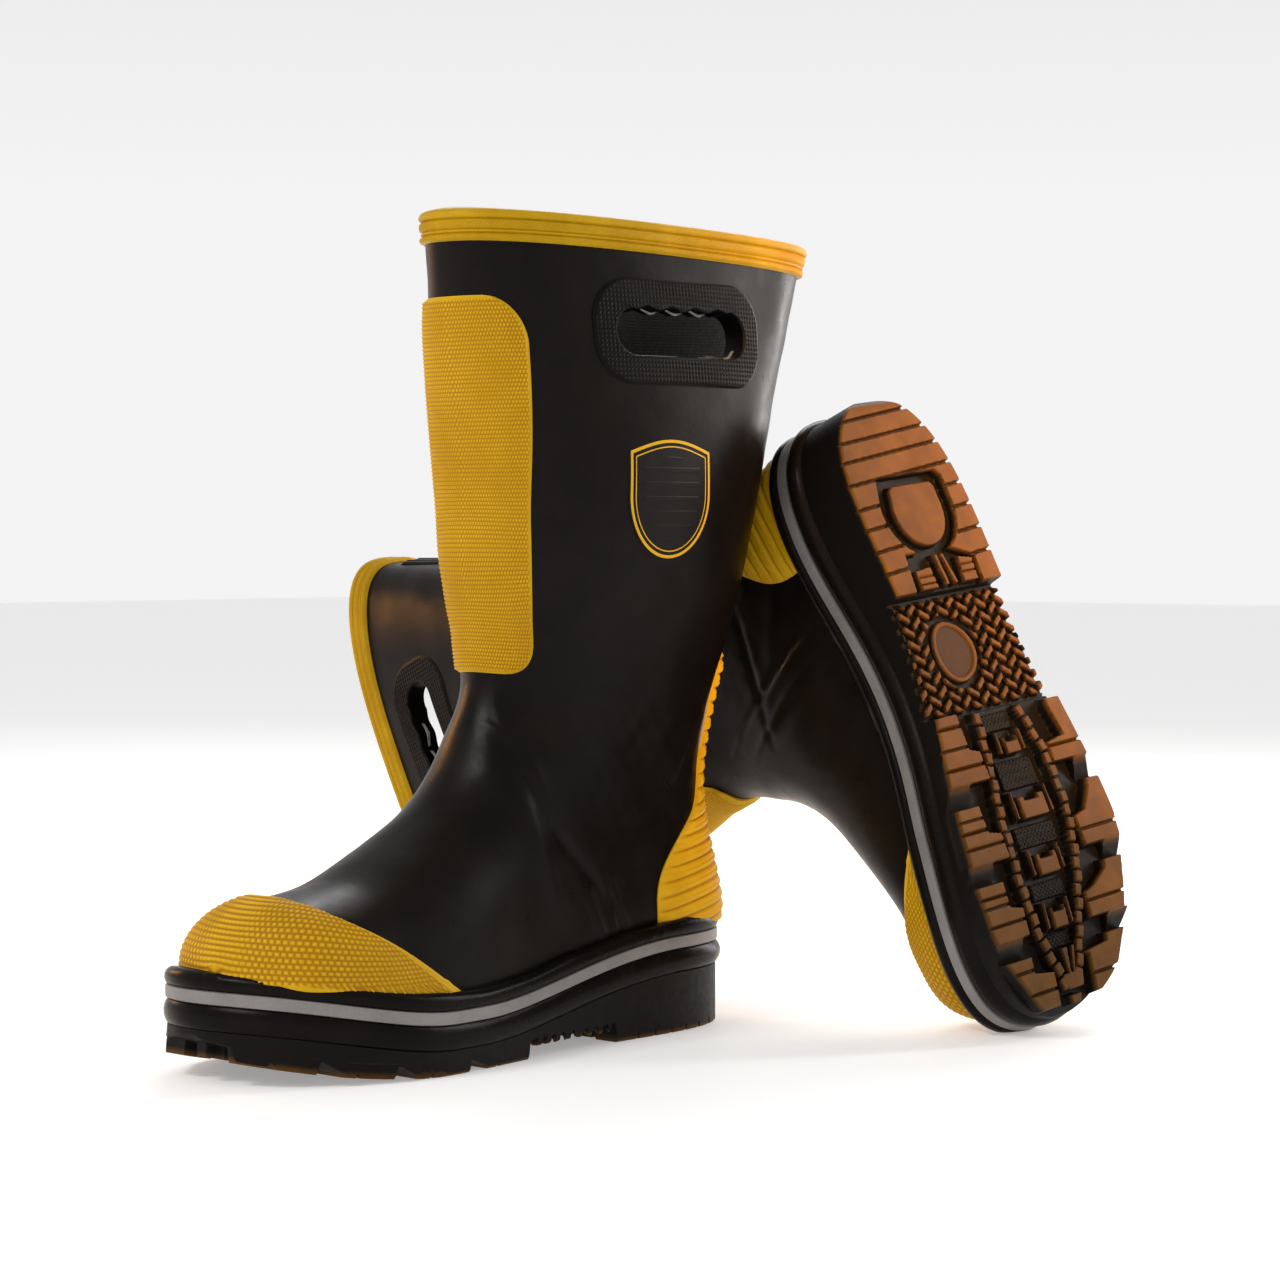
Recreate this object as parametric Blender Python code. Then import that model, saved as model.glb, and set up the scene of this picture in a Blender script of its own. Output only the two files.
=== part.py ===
"""Pair of pull-on rubber fire boots: the left one stands, the right one lies on its front.

Boot coordinates are in millimetres: x runs from the heel to the toe, y to the outer side of
the foot and z up from the ground. The right boot is the left one with y turned round.
"""
import math

import bmesh
import bpy
import numpy as np
from mathutils import Matrix, Vector

MM = 0.001
GAP = 0.4

# Driving sizes of one boot.
LENGTH = 323.0
TOE_SPRING = 12.0
SHELL_THICK = 3.0
MIDDLE_THICK = 1.8
LINING_THICK = 1.2
LINING_GAP = 3.0
GUARD_THICK = 2.2
STAY_THICK = 1.6
FACING_THICK = 1.9
BADGE_THICK = 1.4
INNER_FLOOR = 9.2
STRIPE_HALF = 3.2
BEAD_HEIGHT = 8.0
FOXING_HEIGHT = 12.0
HEEL_BREAST = 105.0
TREAD_FRONT = 169.0
LUG_DEPTH = 7.0
SHANK_RISE = 9.0
LEG_ROWS = (0, 0.6, 1.4, 2.6, 3.8, 5, 6.1, 7, 7.8, 8.6, 9.4, 10.4, 11.5, 12.9, 14.3, 15.7, 15.95)
LINING_ROWS = (0.7, 1.8, 3.5, 5, 6.1, 7, 7.8, 8.7, 9.7, 10.8, 12.2, 14, 15.7)
ROUND_COUNT = 16
LINING_COUNT = 14

# Where each boot stands, in millimetres and degrees.
PAIR_CENTRE = (-56.24, -98.4)
LEFT_HEEL = (0.0, 0.0, 0.0)
LEFT_TURN = -90.0
RIGHT_HEEL = (86.0, 42.5, 318.41)
RIGHT_LEAN = 112.12
RIGHT_TILT = 6.7
RIGHT_TURN = -1.0

# Sections of the upper from the toe tip to the rim. Each one runs from a front or top point
# to a back or bottom point, in the x-z plane, and has a half width on the outer and inner side,
# the place of its widest point counted from the bottom, and how square its two ends are.
SECTIONS = np.array((
    # top x, top z, low x, low z, outer, inner, widest, low power, top power
    (314, 52, 314, 45, 5, 5, 0.50, 2.2, 2.2),
    (310, 62, 310, 32, 22, 24, 0.45, 2.8, 2.2),
    (302, 74, 302, 27, 36, 38, 0.42, 3.2, 2.2),
    (280, 81, 280, 23, 47, 48, 0.38, 3.6, 2.2),
    (248, 86, 248, 20, 51, 51, 0.34, 4.0, 2.1),
    (214, 101, 210, 20, 52, 50, 0.30, 4.0, 2.0),
    (182, 119, 164, 23, 46, 43, 0.28, 4.0, 2.0),
    (160, 152, 95, 32, 41, 38, 0.28, 3.6, 2.0),
    (151, 178, 34, 36, 39, 37, 0.30, 3.0, 2.0),
    (150, 193, 7, 45, 39, 37, 0.32, 2.8, 2.2),
    (151, 206, 8, 64, 39, 37, 0.34, 2.7, 2.3),
    (154, 220, 16, 92, 40, 38, 0.36, 2.6, 2.4),
    (158, 234, 19, 120, 42, 40, 0.38, 2.5, 2.4),
    (159, 262, 1, 200, 55, 53, 0.42, 2.5, 2.4),
    (164, 300, -22, 275, 59, 57, 0.45, 2.5, 2.4),
    (172, 350, -45, 340, 54, 52, 0.47, 2.5, 2.4),
    (180, 403, -68, 397, 47, 45, 0.47, 2.5, 2.4),
), float)

# Outline of the sole, round from the back of the heel by the outer side.
SOLE = np.array((
    (0, -2), (6, 19), (26, 35), (62, 43), (109, 45), (160, 50), (203, 57), (244, 59.5),
    (278, 51), (306, 31), (323, -1), (323, -24), (311, -44), (283, -57), (244, -60),
    (206, -54), (161, -43), (114, -38), (62, -42), (27, -39), (6, -24),
), float)


def natural_spline(knots, rows, at):
    """Reads a natural cubic spline through rows, one row for each knot, at the given places."""
    step = np.diff(knots)
    count = len(knots)
    left = np.eye(count)
    right = np.zeros(rows.shape)
    for i in range(1, count - 1):
        left[i, i - 1:i + 2] = step[i - 1], 2 * (step[i - 1] + step[i]), step[i]
        right[i] = 6 * ((rows[i + 1] - rows[i]) / step[i] - (rows[i] - rows[i - 1]) / step[i - 1])
    bend = np.linalg.solve(left, right)
    at = np.clip(at, knots[0], knots[-1])
    i = np.clip(np.searchsorted(knots, at) - 1, 0, count - 2)
    b = ((at - knots[i]) / step[i])[..., None]
    a = 1 - b
    curve = (a ** 3 - a) * bend[i] + (b ** 3 - b) * bend[i + 1]
    return a * rows[i] + b * rows[i + 1] + curve * step[i][..., None] ** 2 / 6


def section_knots():
    """Spaces the sections by how far apart they lie."""
    top = np.linalg.norm(np.diff(SECTIONS[:, 0:2], axis=0), axis=1)
    low = np.linalg.norm(np.diff(SECTIONS[:, 2:4], axis=0), axis=1)
    return np.concatenate([[0], np.cumsum((top + low) / 2)])


KNOTS = section_knots()


def bare_skin(u, v):
    """Points of the upper's outer surface: u is the section's number, v the angle round it."""
    s = natural_spline(KNOTS, SECTIONS, np.interp(u, np.arange(len(KNOTS)), KNOTS))
    cos, sin = np.cos(v), np.sin(v)
    front = cos >= 0
    widest = s[..., 6]
    power = np.where(front, s[..., 8], s[..., 7])
    reach = np.abs(cos) ** (2 / power)
    along = np.where(front, widest + (1 - widest) * reach, widest - widest * reach)
    wide = np.where(sin >= 0, s[..., 4], s[..., 5])
    y = np.sign(sin) * wide * np.abs(sin) ** (2 / power)
    x = s[..., 2] + (s[..., 0] - s[..., 2]) * along
    z = s[..., 3] + (s[..., 1] - s[..., 3]) * along
    return np.stack([x, y, z], axis=-1)


def skin(u, v, offset=0.0):
    """Points of the upper's surface, moved out along its normal by offset."""
    u, v = np.broadcast_arrays(np.asarray(u, float), np.asarray(v, float))
    last = len(KNOTS) - 1
    du = bare_skin(np.clip(u + 0.05, 0, last), v) - bare_skin(np.clip(u - 0.05, 0, last), v)
    dv = bare_skin(u, v + 0.06) - bare_skin(u, v - 0.06)
    normal = np.cross(dv, du)
    normal /= np.linalg.norm(normal, axis=-1, keepdims=True)
    return bare_skin(u, v) + normal * offset


def smooth_step(value, low, high):
    t = np.clip((np.asarray(value, float) - low) / (high - low), 0, 1)
    return t * t * (3 - 2 * t)


def spring(x):
    """How far the sole has risen from the ground at x."""
    return TOE_SPRING * np.clip((np.asarray(x, float) / LENGTH - 0.72) / 0.28, 0, 1) ** 2


def stripe_level(x):
    """Height of the middle of the reflective stripe."""
    return 26.5 + 18.5 * (1 - smooth_step(x, 55, 205)) + 13.5 * smooth_step(x, 225, 335)


def outsole_top(x):
    return stripe_level(x) - STRIPE_HALF - FOXING_HEIGHT


def footbed_level(x):
    """Lowest level of the upper's outer surface along the foot."""
    order = np.argsort(SECTIONS[:10, 2])
    return np.interp(x, SECTIONS[:10, 2][order], SECTIONS[:10, 3][order])


def sole_outline(count, offset=0.0):
    """Points round the sole, offset outwards from its outline."""
    ring = np.vstack([SOLE, SOLE, SOLE, SOLE[:1]])
    gaps = np.linalg.norm(np.diff(ring, axis=0), axis=1) ** 0.5
    knots = np.concatenate([[0], np.cumsum(gaps)])
    turn = knots[len(SOLE)]
    at = turn + np.arange(count) * turn / count
    points = natural_spline(knots, ring, at)
    slope = natural_spline(knots, ring, at + 0.01) - natural_spline(knots, ring, at - 0.01)
    normal = np.stack([-slope[:, 1], slope[:, 0]], axis=1)
    normal /= np.linalg.norm(normal, axis=1, keepdims=True)
    return points + normal * offset


def sole_edges(x, inset):
    """The outer and inner side of the sole at each x, moved in by inset."""
    ring = sole_outline(240, -inset)
    heel, toe = np.argmin(ring[:, 0]), np.argmax(ring[:, 0])
    ring = np.roll(ring, -heel, axis=0)
    toe = (toe - heel) % len(ring)
    outer = ring[:toe + 1]
    inner = ring[toe:][::-1]
    return (np.interp(x, outer[:, 0], outer[:, 1]), np.interp(x, inner[:, 0], inner[:, 1]),
            ring[:, 0].min(), ring[:, 0].max())


def make_material(name, colour, roughness, metallic=0.0):
    material = bpy.data.materials.new(name)
    material.use_nodes = True
    shader = material.node_tree.nodes["Principled BSDF"]
    shader.inputs["Base Color"].default_value = (*colour, 1.0)
    shader.inputs["Roughness"].default_value = roughness
    shader.inputs["Metallic"].default_value = metallic
    material.diffuse_color = (*colour, 1.0)
    return material


class Boot:
    """Makes the pieces of one boot and hangs them on its frame."""

    def __init__(self, side, frame):
        self.side = side
        self.frame = frame
        self.flip = 1.0 if side == "left" else -1.0

    def add(self, name, points, faces, material, crease=40.0):
        """Adds one closed solid from points in boot coordinates."""
        points = np.asarray(points, float).reshape(-1, 3) * (MM, MM * self.flip, MM)
        mesh = bpy.data.meshes.new(self.side + "_" + name)
        work = bmesh.new()
        corners = [work.verts.new(p) for p in points]
        for face in faces:
            work.faces.new([corners[i] for i in face])
        bmesh.ops.recalc_face_normals(work, faces=work.faces)
        work.to_mesh(mesh)
        work.free()
        mesh.shade_smooth()
        mesh.set_sharp_from_angle(angle=math.radians(crease))
        piece = bpy.data.objects.new(self.side + "_" + name, mesh)
        bpy.context.scene.collection.objects.link(piece)
        piece.parent = self.frame
        if material is not None:
            mesh.materials.append(material)
        return piece

    def cutter(self, name, points, faces):
        """Adds a hidden solid that only cuts others."""
        piece = self.add(name, points, faces, None)
        piece.hide_render = True
        piece.display_type = "WIRE"
        return piece

    def boolean(self, piece, cutter, operation="DIFFERENCE"):
        change = piece.modifiers.new(operation.lower() + "_" + cutter.name, "BOOLEAN")
        change.operation = operation
        change.solver = "EXACT"
        change.object = cutter

    def layer(self, name, rows, outside, inside, material, floor=None, count=ROUND_COUNT):
        """A layer of the upper between two offsets, open at the rim."""
        v = np.arange(count) * 2 * math.pi / count
        rows = np.asarray(rows, float)[:, None]
        outer = skin(rows, v, outside)
        inner = skin(rows, v, inside)
        if floor is not None:
            for shell, rise in ((outer, floor), (inner, floor + outside - inside)):
                level = footbed_level(shell[..., 0]) + rise
                shell[..., 2] = np.maximum(shell[..., 2], level)
        closed = rows[0, 0] < 5
        return self.add(name, *shell_solid(outer, inner, closed), material)

    def cavity(self, name, rows, offset, count=ROUND_COUNT, floor=None):
        """A cutter that fills the upper out to an offset of its surface."""
        v = np.arange(count) * 2 * math.pi / count
        net = skin(np.asarray(rows, float)[:, None], v, offset)
        if floor is not None:
            net[..., 2] = np.maximum(net[..., 2], footbed_level(net[..., 0]) + floor)
        points, faces = closed_net(net)
        return self.cutter(name, points, faces)

    def slab(self, name, inset, low, high, material, x_range=None, count=20):
        """A plate with the sole's outline moved in, between the levels low(x) and high(x)."""
        start, end = sole_edges(0.0, inset)[2:]
        if x_range is not None:
            start, end = max(start, x_range[0]), min(end, x_range[1])
        x = start + (end - start) * (1 - np.cos(np.linspace(0.06, math.pi - 0.06, count))) / 2
        outer, inner = sole_edges(x, inset)[:2]
        return self.add(name, *loft_plate(x, outer, inner, low(x), high(x)), material)

    def ring(self, name, low, high, profile, material, inset=16.0, count=28):
        """A strip round the sole: profile gives its outer face as (share of height, offset)."""
        loops = []
        for share, offset in profile:
            edge = sole_outline(count, offset)
            level = low(edge[:, 0]) * (1 - share) + high(edge[:, 0]) * share
            loops.append(np.column_stack([edge, level]))
        edge = sole_outline(count, -inset)
        for level in (high, low):
            loops.append(np.column_stack([edge, level(sole_outline(count)[:, 0])]))
        return self.add(name, *ring_solid(np.array(loops)), material)

    def prism(self, name, outline, axis, low, high):
        """A cutter with a flat outline: seen from the side for axis 1, from the front for 0."""
        outline = np.asarray(outline, float)
        count = len(outline)
        points = []
        for level in (low, high):
            for a, b in outline:
                points.append((a, level, b) if axis == 1 else (level, a, b))
        faces = [list(range(count)), list(range(count, 2 * count))]
        for i in range(count):
            j = (i + 1) % count
            faces.append([i, j, count + j, count + i])
        return self.cutter(name, points, faces)

    def prism_down(self, name, outline, low, high):
        """A cutter with an outline in plan, between two levels."""
        count = len(outline)
        points = [(x, y, low) for x, y in outline] + [(x, y, high) for x, y in outline]
        faces = [list(range(count)), list(range(count, 2 * count))]
        for i in range(count):
            j = (i + 1) % count
            faces.append([i, j, count + j, count + i])
        return self.cutter(name, points, faces)


def shell_solid(outer, inner, closed):
    """Faces of a layer between two nets of points, with its toe capped when closed is set."""
    rows, count = outer.shape[:2]
    points = np.concatenate([outer.reshape(-1, 3), inner.reshape(-1, 3)])
    base = rows * count
    faces = []
    for start in (0, base):
        for r in range(rows - 1):
            for c in range(count):
                d = (c + 1) % count
                a, b = start + r * count, start + (r + 1) * count
                faces.append([a + c, a + d, b + d])
                faces.append([a + c, b + d, b + c])
    rims = [rows - 1] if closed else [rows - 1, 0]
    for r in rims:
        for c in range(count):
            d = (c + 1) % count
            a, b = r * count, base + r * count
            faces.append([a + c, a + d, b + d, b + c])
    if closed:
        faces.append(list(range(count)))
        faces.append(list(range(base, base + count)))
    return points, faces


def closed_net(net):
    """Faces of a solid from one net of points, capped at both ends."""
    rows, count = net.shape[:2]
    faces = [list(range(count)), [(rows - 1) * count + c for c in range(count)]]
    for r in range(rows - 1):
        for c in range(count):
            d = (c + 1) % count
            a, b = r * count, (r + 1) * count
            faces.append([a + c, a + d, b + d])
            faces.append([a + c, b + d, b + c])
    return net.reshape(-1, 3), faces


def ring_solid(loops):
    """Faces of a strip whose section is one closed polygon carried round the loops."""
    rows, count = loops.shape[:2]
    faces = []
    for r in range(rows):
        s = (r + 1) % rows
        for c in range(count):
            d = (c + 1) % count
            faces.append([r * count + c, r * count + d, s * count + d, s * count + c])
    return loops.reshape(-1, 3), faces


def loft_plate(x, outer, inner, low, high):
    """A plate made of strips across the foot, from heel to toe."""
    count = len(x)
    points = np.concatenate([
        np.column_stack([x, outer, low]), np.column_stack([x, inner, low]),
        np.column_stack([x, outer, high]), np.column_stack([x, inner, high])])
    a, b, c, d = 0, count, 2 * count, 3 * count
    faces = [[a, b, d, c], [a + count - 1, b + count - 1, d + count - 1, c + count - 1]]
    for i in range(count - 1):
        for p, q in ((a, b), (b, d), (d, c), (c, a)):
            faces.append([p + i, p + i + 1, q + i + 1, q + i])
    return points, faces


def rounded_box(centre, size, radius, steps=4):
    """Outline of a rectangle with round corners."""
    points = []
    for turn in range(4):
        sign_a = (1, -1, -1, 1)[turn]
        sign_b = (1, 1, -1, -1)[turn]
        for i in range(steps + 1):
            angle = math.radians(90 * turn + 90 * i / steps)
            points.append((centre[0] + sign_a * (size[0] / 2 - radius) + radius * math.cos(angle),
                           centre[1] + sign_b * (size[1] / 2 - radius) + radius * math.sin(angle)))
    return points


# The hand slot: a grip hole with round ends and four finger hollows along its top.
SLOT_CENTRE = (65.0, 347.5)
SLOT_SIZE = (90.0, 23.0)
SLOT_TILT = math.radians(-0.5)
PATCH_SIZE = (117.0, 52.0)
PATCH_RADIUS = 22.0
FINGERS = 4


def slot_outline(grow=0.0):
    half = SLOT_SIZE[0] / 2 + grow
    radius = SLOT_SIZE[1] / 2 + grow
    points = []
    for i in range(7):
        angle = math.pi / 2 + math.pi * i / 6
        points.append((-half + radius + radius * math.cos(angle), radius * math.sin(angle)))
    for i in range(7):
        angle = -math.pi / 2 + math.pi * i / 6
        points.append((half - radius + radius * math.cos(angle), radius * math.sin(angle)))
    reach = 2 * (half - radius)
    for i in range(1, 2 * FINGERS):
        t = i / (2 * FINGERS)
        dip = 2.4 if i % 2 == 0 else -0.8
        points.append((half - radius - reach * t, radius - dip))
    return [(SLOT_CENTRE[0] + a, SLOT_CENTRE[1] + b + a * math.tan(SLOT_TILT)) for a, b in points]


def shield_outline(centre, width, height):
    """A plain heater shield with a softly arched top."""
    points = []
    for i in range(5):
        t = i / 4
        points.append((0.5 - t, 0.40 + 0.10 * math.sin(math.pi * t)))
    for i in range(1, 6):
        t = i / 6
        points.append((-0.5 * math.cos(t * math.pi / 2), 0.05 - 0.55 * math.sin(t * math.pi / 2)))
    points.append((0.0, -0.5))
    for i in range(5, 0, -1):
        t = i / 6
        points.append((0.5 * math.cos(t * math.pi / 2), 0.05 - 0.55 * math.sin(t * math.pi / 2)))
    return [(centre[0] + a * width, centre[1] + b * height) for a, b in points]


def below_bead(first, last, drop, count=24):
    """Side outline of all that lies under the top of the upper foxing."""
    x = np.linspace(first, last, count)
    level = stripe_level(x) + STRIPE_HALF + BEAD_HEIGHT + drop
    return [(first, -20.0), (last, -20.0)] + [(a, b) for a, b in zip(x[::-1], level[::-1])]


def add_upper(boot, kit):
    """The rubber shell, its linings and everything that is stuck on it."""
    rows = np.array(LEG_ROWS)
    shell = boot.layer("upper_shell", rows, 0.0, -SHELL_THICK, kit["rubber"])
    middle_out = -SHELL_THICK - GAP
    middle_in = middle_out - MIDDLE_THICK
    lining_out = middle_in - LINING_GAP
    lining = boot.layer("lining", LINING_ROWS, lining_out, lining_out - LINING_THICK,
                        kit["lining"], floor=INNER_FLOOR, count=LINING_COUNT)
    felt = boot.layer("insulation_felt", rows[rows >= 11], middle_out, middle_in, kit["felt"])
    slot = boot.prism("cut_slot", slot_outline(), 1, -90, 90)
    for piece in (shell, lining, felt):
        boot.boolean(piece, slot)

    window = boot.prism("cut_window", rounded_box((0, 272), (74, 146), 14), 0, 60, 220)
    pad_line = boot.prism("cut_pad", rounded_box((0, 272), (73, 145), 13.5), 0, 60, 220)
    boot.boolean(felt, window)
    pad = boot.layer("shin_pad", rows[rows >= 11], middle_out, middle_in, kit["foam"])
    boot.boolean(pad, pad_line, "INTERSECT")

    cap = boot.layer("steel_toe_cap", rows[(rows >= 0.6) & (rows <= 4)], middle_out, middle_in,
                     kit["steel"])
    cap_line = boot.prism("cut_cap", [(226, 40), (330, 40), (330, 110), (226, 110)], 1, -90, 90)
    boot.boolean(cap, cap_line, "INTERSECT")
    counter = boot.layer("heel_counter", rows[(rows >= 8.2) & (rows <= 10.4)], middle_out,
                         middle_in, kit["board"])
    counter_line = boot.prism("cut_counter", [(-20, 48), (62, 48), (55, 110), (-20, 110)], 1,
                              -90, 90)
    boot.boolean(counter, counter_line, "INTERSECT")


def add_guards(boot, kit):
    """The yellow guards, the grip facings, the badge and the strip up the back."""
    rows = np.array(LEG_ROWS)
    low, high = GAP, GAP + GUARD_THICK

    shin = boot.layer("shin_guard", rows[rows >= 8.2], high, low, kit["yellow"])
    shin_line = boot.prism("cut_shin", rounded_box((0, 272), (74, 182), 19), 0, 90, 230)
    boot.boolean(shin, shin_line, "INTERSECT")

    toe = boot.layer("toe_cover", rows[rows <= 6], high, low, kit["yellow"])
    toe_line = boot.prism("cut_toe", [(196, 24), (297, 86), (345, 110), (345, 0), (196, 0)], 1,
                          -90, 90)
    boot.boolean(toe, toe_line, "INTERSECT")
    boot.boolean(toe, boot.prism("cut_under_toe", below_bead(180, 350, 1.5), 1, -95, 95))

    heel = boot.layer("heel_guard", rows[(rows >= 7.6) & (rows <= 14)], high, low, kit["yellow"])
    heel_line = boot.prism("cut_heel", [
        (-40, 30), (71, 30), (72, 84), (62, 96), (45, 110), (36, 130), (28, 156), (18, 180),
        (10, 192), (-40, 192)], 1, -90, 90)
    boot.boolean(heel, heel_line, "INTERSECT")
    boot.boolean(heel, boot.prism("cut_under_heel", below_bead(-30, 110, 1.5), 1, -95, 95))

    stay = boot.layer("back_stay", rows[rows >= 12], low + STAY_THICK, low, kit["rubber"])
    stay_line = boot.prism("cut_stay", rounded_box((-1, 284), (17, 176), 3, 1), 0, -110, 20)
    boot.boolean(stay, stay_line, "INTERSECT")

    facing = rounded_box(SLOT_CENTRE, PATCH_SIZE, PATCH_RADIUS)
    for side, near, far in (("outer", 20, 90), ("inner", -90, -20)):
        patch = boot.layer("grip_facing_" + side, rows[rows >= 13], low + FACING_THICK, low,
                           kit["waffle"])
        outline = boot.prism("cut_facing_" + side, facing, 1, near, far)
        boot.boolean(patch, outline, "INTERSECT")
        hole = boot.prism("cut_grip_" + side, slot_outline(), 1, near - 5, far + 5)
        boot.boolean(patch, hole)

    badge = boot.layer("side_badge", rows[rows >= 12], low + BADGE_THICK, low, kit["badge"])
    shield = boot.prism("cut_badge", shield_outline((80, 266), 54, 59), 1, 20, 90)
    boot.boolean(badge, shield, "INTERSECT")


def add_binding(boot, kit):
    """The moulded yellow band that is folded over the rim."""
    depth = SHELL_THICK + MIDDLE_THICK + LINING_THICK + GAP + LINING_GAP
    skirt = GAP + 0.3
    section = (
        (skirt, 15.70, 0), (2.8, 15.70, 0), (3.4, 15.84, 0), (2.8, 15.98, 0.6), (1.4, 16, 1.8),
        (-depth + 0.6, 16, 1.8), (-depth - 1.8, 15.98, 0.6), (-depth - 2, 15.80, 0),
        (-depth - 0.3, 15.80, 0), (-depth - 0.3, 15.98, 0.4), (skirt, 15.98, 0.4))
    v = np.arange(ROUND_COUNT) * 2 * math.pi / ROUND_COUNT
    loops = []
    for offset, u, rise in section:
        loops.append(skin(u, v, offset) + (0, 0, rise))
    boot.add("top_binding", *ring_solid(np.array(loops)), kit["yellow"])


def add_foxing(boot, kit):
    """The strips round the foot, fitted to the shell."""
    form = boot.cavity("cut_form", [r for r in LEG_ROWS if r <= 12], GAP)

    def stripe_low(x):
        return stripe_level(x) - STRIPE_HALF

    def stripe_high(x):
        return stripe_level(x) + STRIPE_HALF

    strips = (
        ("upper_foxing", lambda x: stripe_high(x) + 0.15, lambda x: stripe_high(x) + BEAD_HEIGHT,
         ((0, 0.8), (0.5, 1.2), (1, -1.0)), kit["rubber"]),
        ("reflective_stripe", lambda x: stripe_low(x) + 0.2, lambda x: stripe_high(x) - 0.2,
         ((0, 0.9), (1, 0.7)), kit["reflective"]),
        ("lower_foxing", lambda x: outsole_top(x) + 0.5, lambda x: stripe_low(x) - 0.15,
         ((0, 0.2), (0.4, 1.8), (0.8, 1.8), (1, 0.9)), kit["rubber"]),
    )
    for name, low, high, profile, material in strips:
        strip = boot.ring(name, low, high, profile, material)
        boot.boolean(strip, form)
    return form


# Lugs of the tread, each as (first x, last x, share of the outer edge's y, inner y or None).
OUTER_LUGS = ((170, 203, 33), (216, 249, 31), (259, 285, 20), (294, 316, 10))
INNER_LUGS = ((169, 206, -26), (216, 245, -34), (254, 284, -35), (294, 314, -28))
CENTRE_LUGS = ((182, 195, 0, 13), (213, 228, -13, 17), (243, 256, -18, 12), (270, 283, -15, 4))
OUTER_ROW = ((170, 19), (198, 27), (228, 27), (262, 16), (298, 3), (318, -7))
INNER_ROW = ((170, -13), (198, -18), (228, -25), (262, -29), (292, -25), (316, -11))


def lug_blocks():
    """Bottom outlines of the forefoot lugs, counted round."""
    blocks = []
    for first, last, inner in OUTER_LUGS:
        edge = sole_edges(np.array([first, (first + last) / 2, last]), 1.0)[0]
        blocks.append([(first, inner + 8), ((first + last) / 2, inner), (last, inner),
                       (last, edge[2]), ((first + last) / 2, edge[1]), (first, edge[0])])
    for first, last, inner in INNER_LUGS:
        edge = sole_edges(np.array([first, (first + last) / 2, last]), 1.0)[1]
        blocks.append([(first, inner - 7), (first, edge[0]), ((first + last) / 2, edge[1]),
                       (last, edge[2]), (last, inner), ((first + last) / 2, inner)])
    for first, last, low, high in CENTRE_LUGS:
        blocks.append([(first, low), (last, low), (last, high), (first, high)])
    for row in (OUTER_ROW, INNER_ROW):
        upper = [(x, y + 2.2) for x, y in row]
        lower = [(x, y - 2.2) for x, y in row]
        blocks.append(lower + upper[::-1])
    return blocks


def add_sole(boot, kit, form):
    """The outsole with its tread, and the filler between it and the upper."""
    def plate_low(x):
        return np.where(x < TREAD_FRONT, SHANK_RISE, LUG_DEPTH - 0.5 + spring(x))

    outsole = boot.slab("outsole", 0.0, plate_low, outsole_top, kit["outsole"], count=26)
    heel = boot.slab("join_heel", 0.2, lambda x: 0 * x, lambda x: 0 * x + SHANK_RISE + 2, None,
                     x_range=(0, HEEL_BREAST), count=14)
    points, faces = [], []
    for block in lug_blocks():
        base = len(points)
        n = len(block)
        points += [(x, y, float(spring(x))) for x, y in block]
        points += [(x, y, float(spring(x)) + LUG_DEPTH + 1.5) for x, y in block]
        faces.append([base + i for i in range(n)])
        faces.append([base + n + i for i in range(n)])
        for i in range(n):
            j = (i + 1) % n
            faces.append([base + i, base + j, base + n + j, base + n + i])
    lugs = boot.cutter("join_lugs", points, faces)
    heel.hide_render = True
    heel.display_type = "WIRE"
    boot.boolean(outsole, heel, "UNION")
    boot.boolean(outsole, lugs, "UNION")

    ring = []
    for i in range(9):
        angle = math.pi / 2 - math.pi * i / 8
        ring.append((60 + 26 * math.cos(angle), 2 + 28 * math.sin(angle)))
    ring += [(44, -26), (42, 30)]
    island = [(60 + (x - 60) * 0.68, 1 + (y - 2) * 0.70) for x, y in ring]
    recess = []
    for outline in (ring, island):
        recess.append(boot.prism_down("cut_ring_%d" % len(recess), outline, -5, 5))
    boot.boolean(recess[0], recess[1])
    boot.boolean(outsole, recess[0])
    notch = boot.prism_down("cut_breast", [(88, -20), (125, -20), (125, 30), (88, 30)], -5, 5)
    boot.boolean(outsole, notch)

    filler = boot.slab("midsole_filler", 17.0, lambda x: outsole_top(x) + GAP,
                       lambda x: footbed_level(x) + 5, kit["filler"])
    boot.boolean(filler, form)


def add_footbed(boot, kit):
    """The plates under the foot and the loose insole, from the bottom up."""
    def level(rise):
        return lambda x: footbed_level(x) + rise

    base = SHELL_THICK
    shell_room = boot.cavity("cut_shell_room", LEG_ROWS, -SHELL_THICK - GAP)
    plate = boot.slab("puncture_plate", 21.0, level(base + 0.9), level(base + 1.9), kit["steel"])
    board = boot.slab("insole_board", 21.0, level(base + 4.2), level(base + 5.8), kit["board"])
    for piece in (plate, board):
        boot.boolean(piece, shell_room, "INTERSECT")
    x = np.linspace(62, 178, 9)
    half = 9 + 3 * np.cos((x - 62) / 116 * math.pi)
    shank = boot.add("steel_shank", *loft_plate(x, half, -half, level(base + 2.3)(x),
                                                level(base + 3.8)(x)), kit["steel"])
    rungs = []
    for i in range(4):
        centre = 78 + i * 27
        rungs.append(boot.prism_down("cut_rung_%d" % i, rounded_box((centre, 0), (15, 9), 2, 1),
                                     20, 60))
    for rung in rungs:
        boot.boolean(shank, rung)
    top = base + 6.2 + LINING_THICK
    insole = boot.slab("removable_insole", 21.0, level(top + 0.5), level(top + 5.0),
                       kit["insole"])
    inner = SHELL_THICK + MIDDLE_THICK + LINING_THICK + GAP + LINING_GAP
    lining_room = boot.cavity("cut_lining_room", LINING_ROWS, -inner - GAP, LINING_COUNT,
                              top + GAP)
    boot.boolean(insole, lining_room, "INTERSECT")


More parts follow.
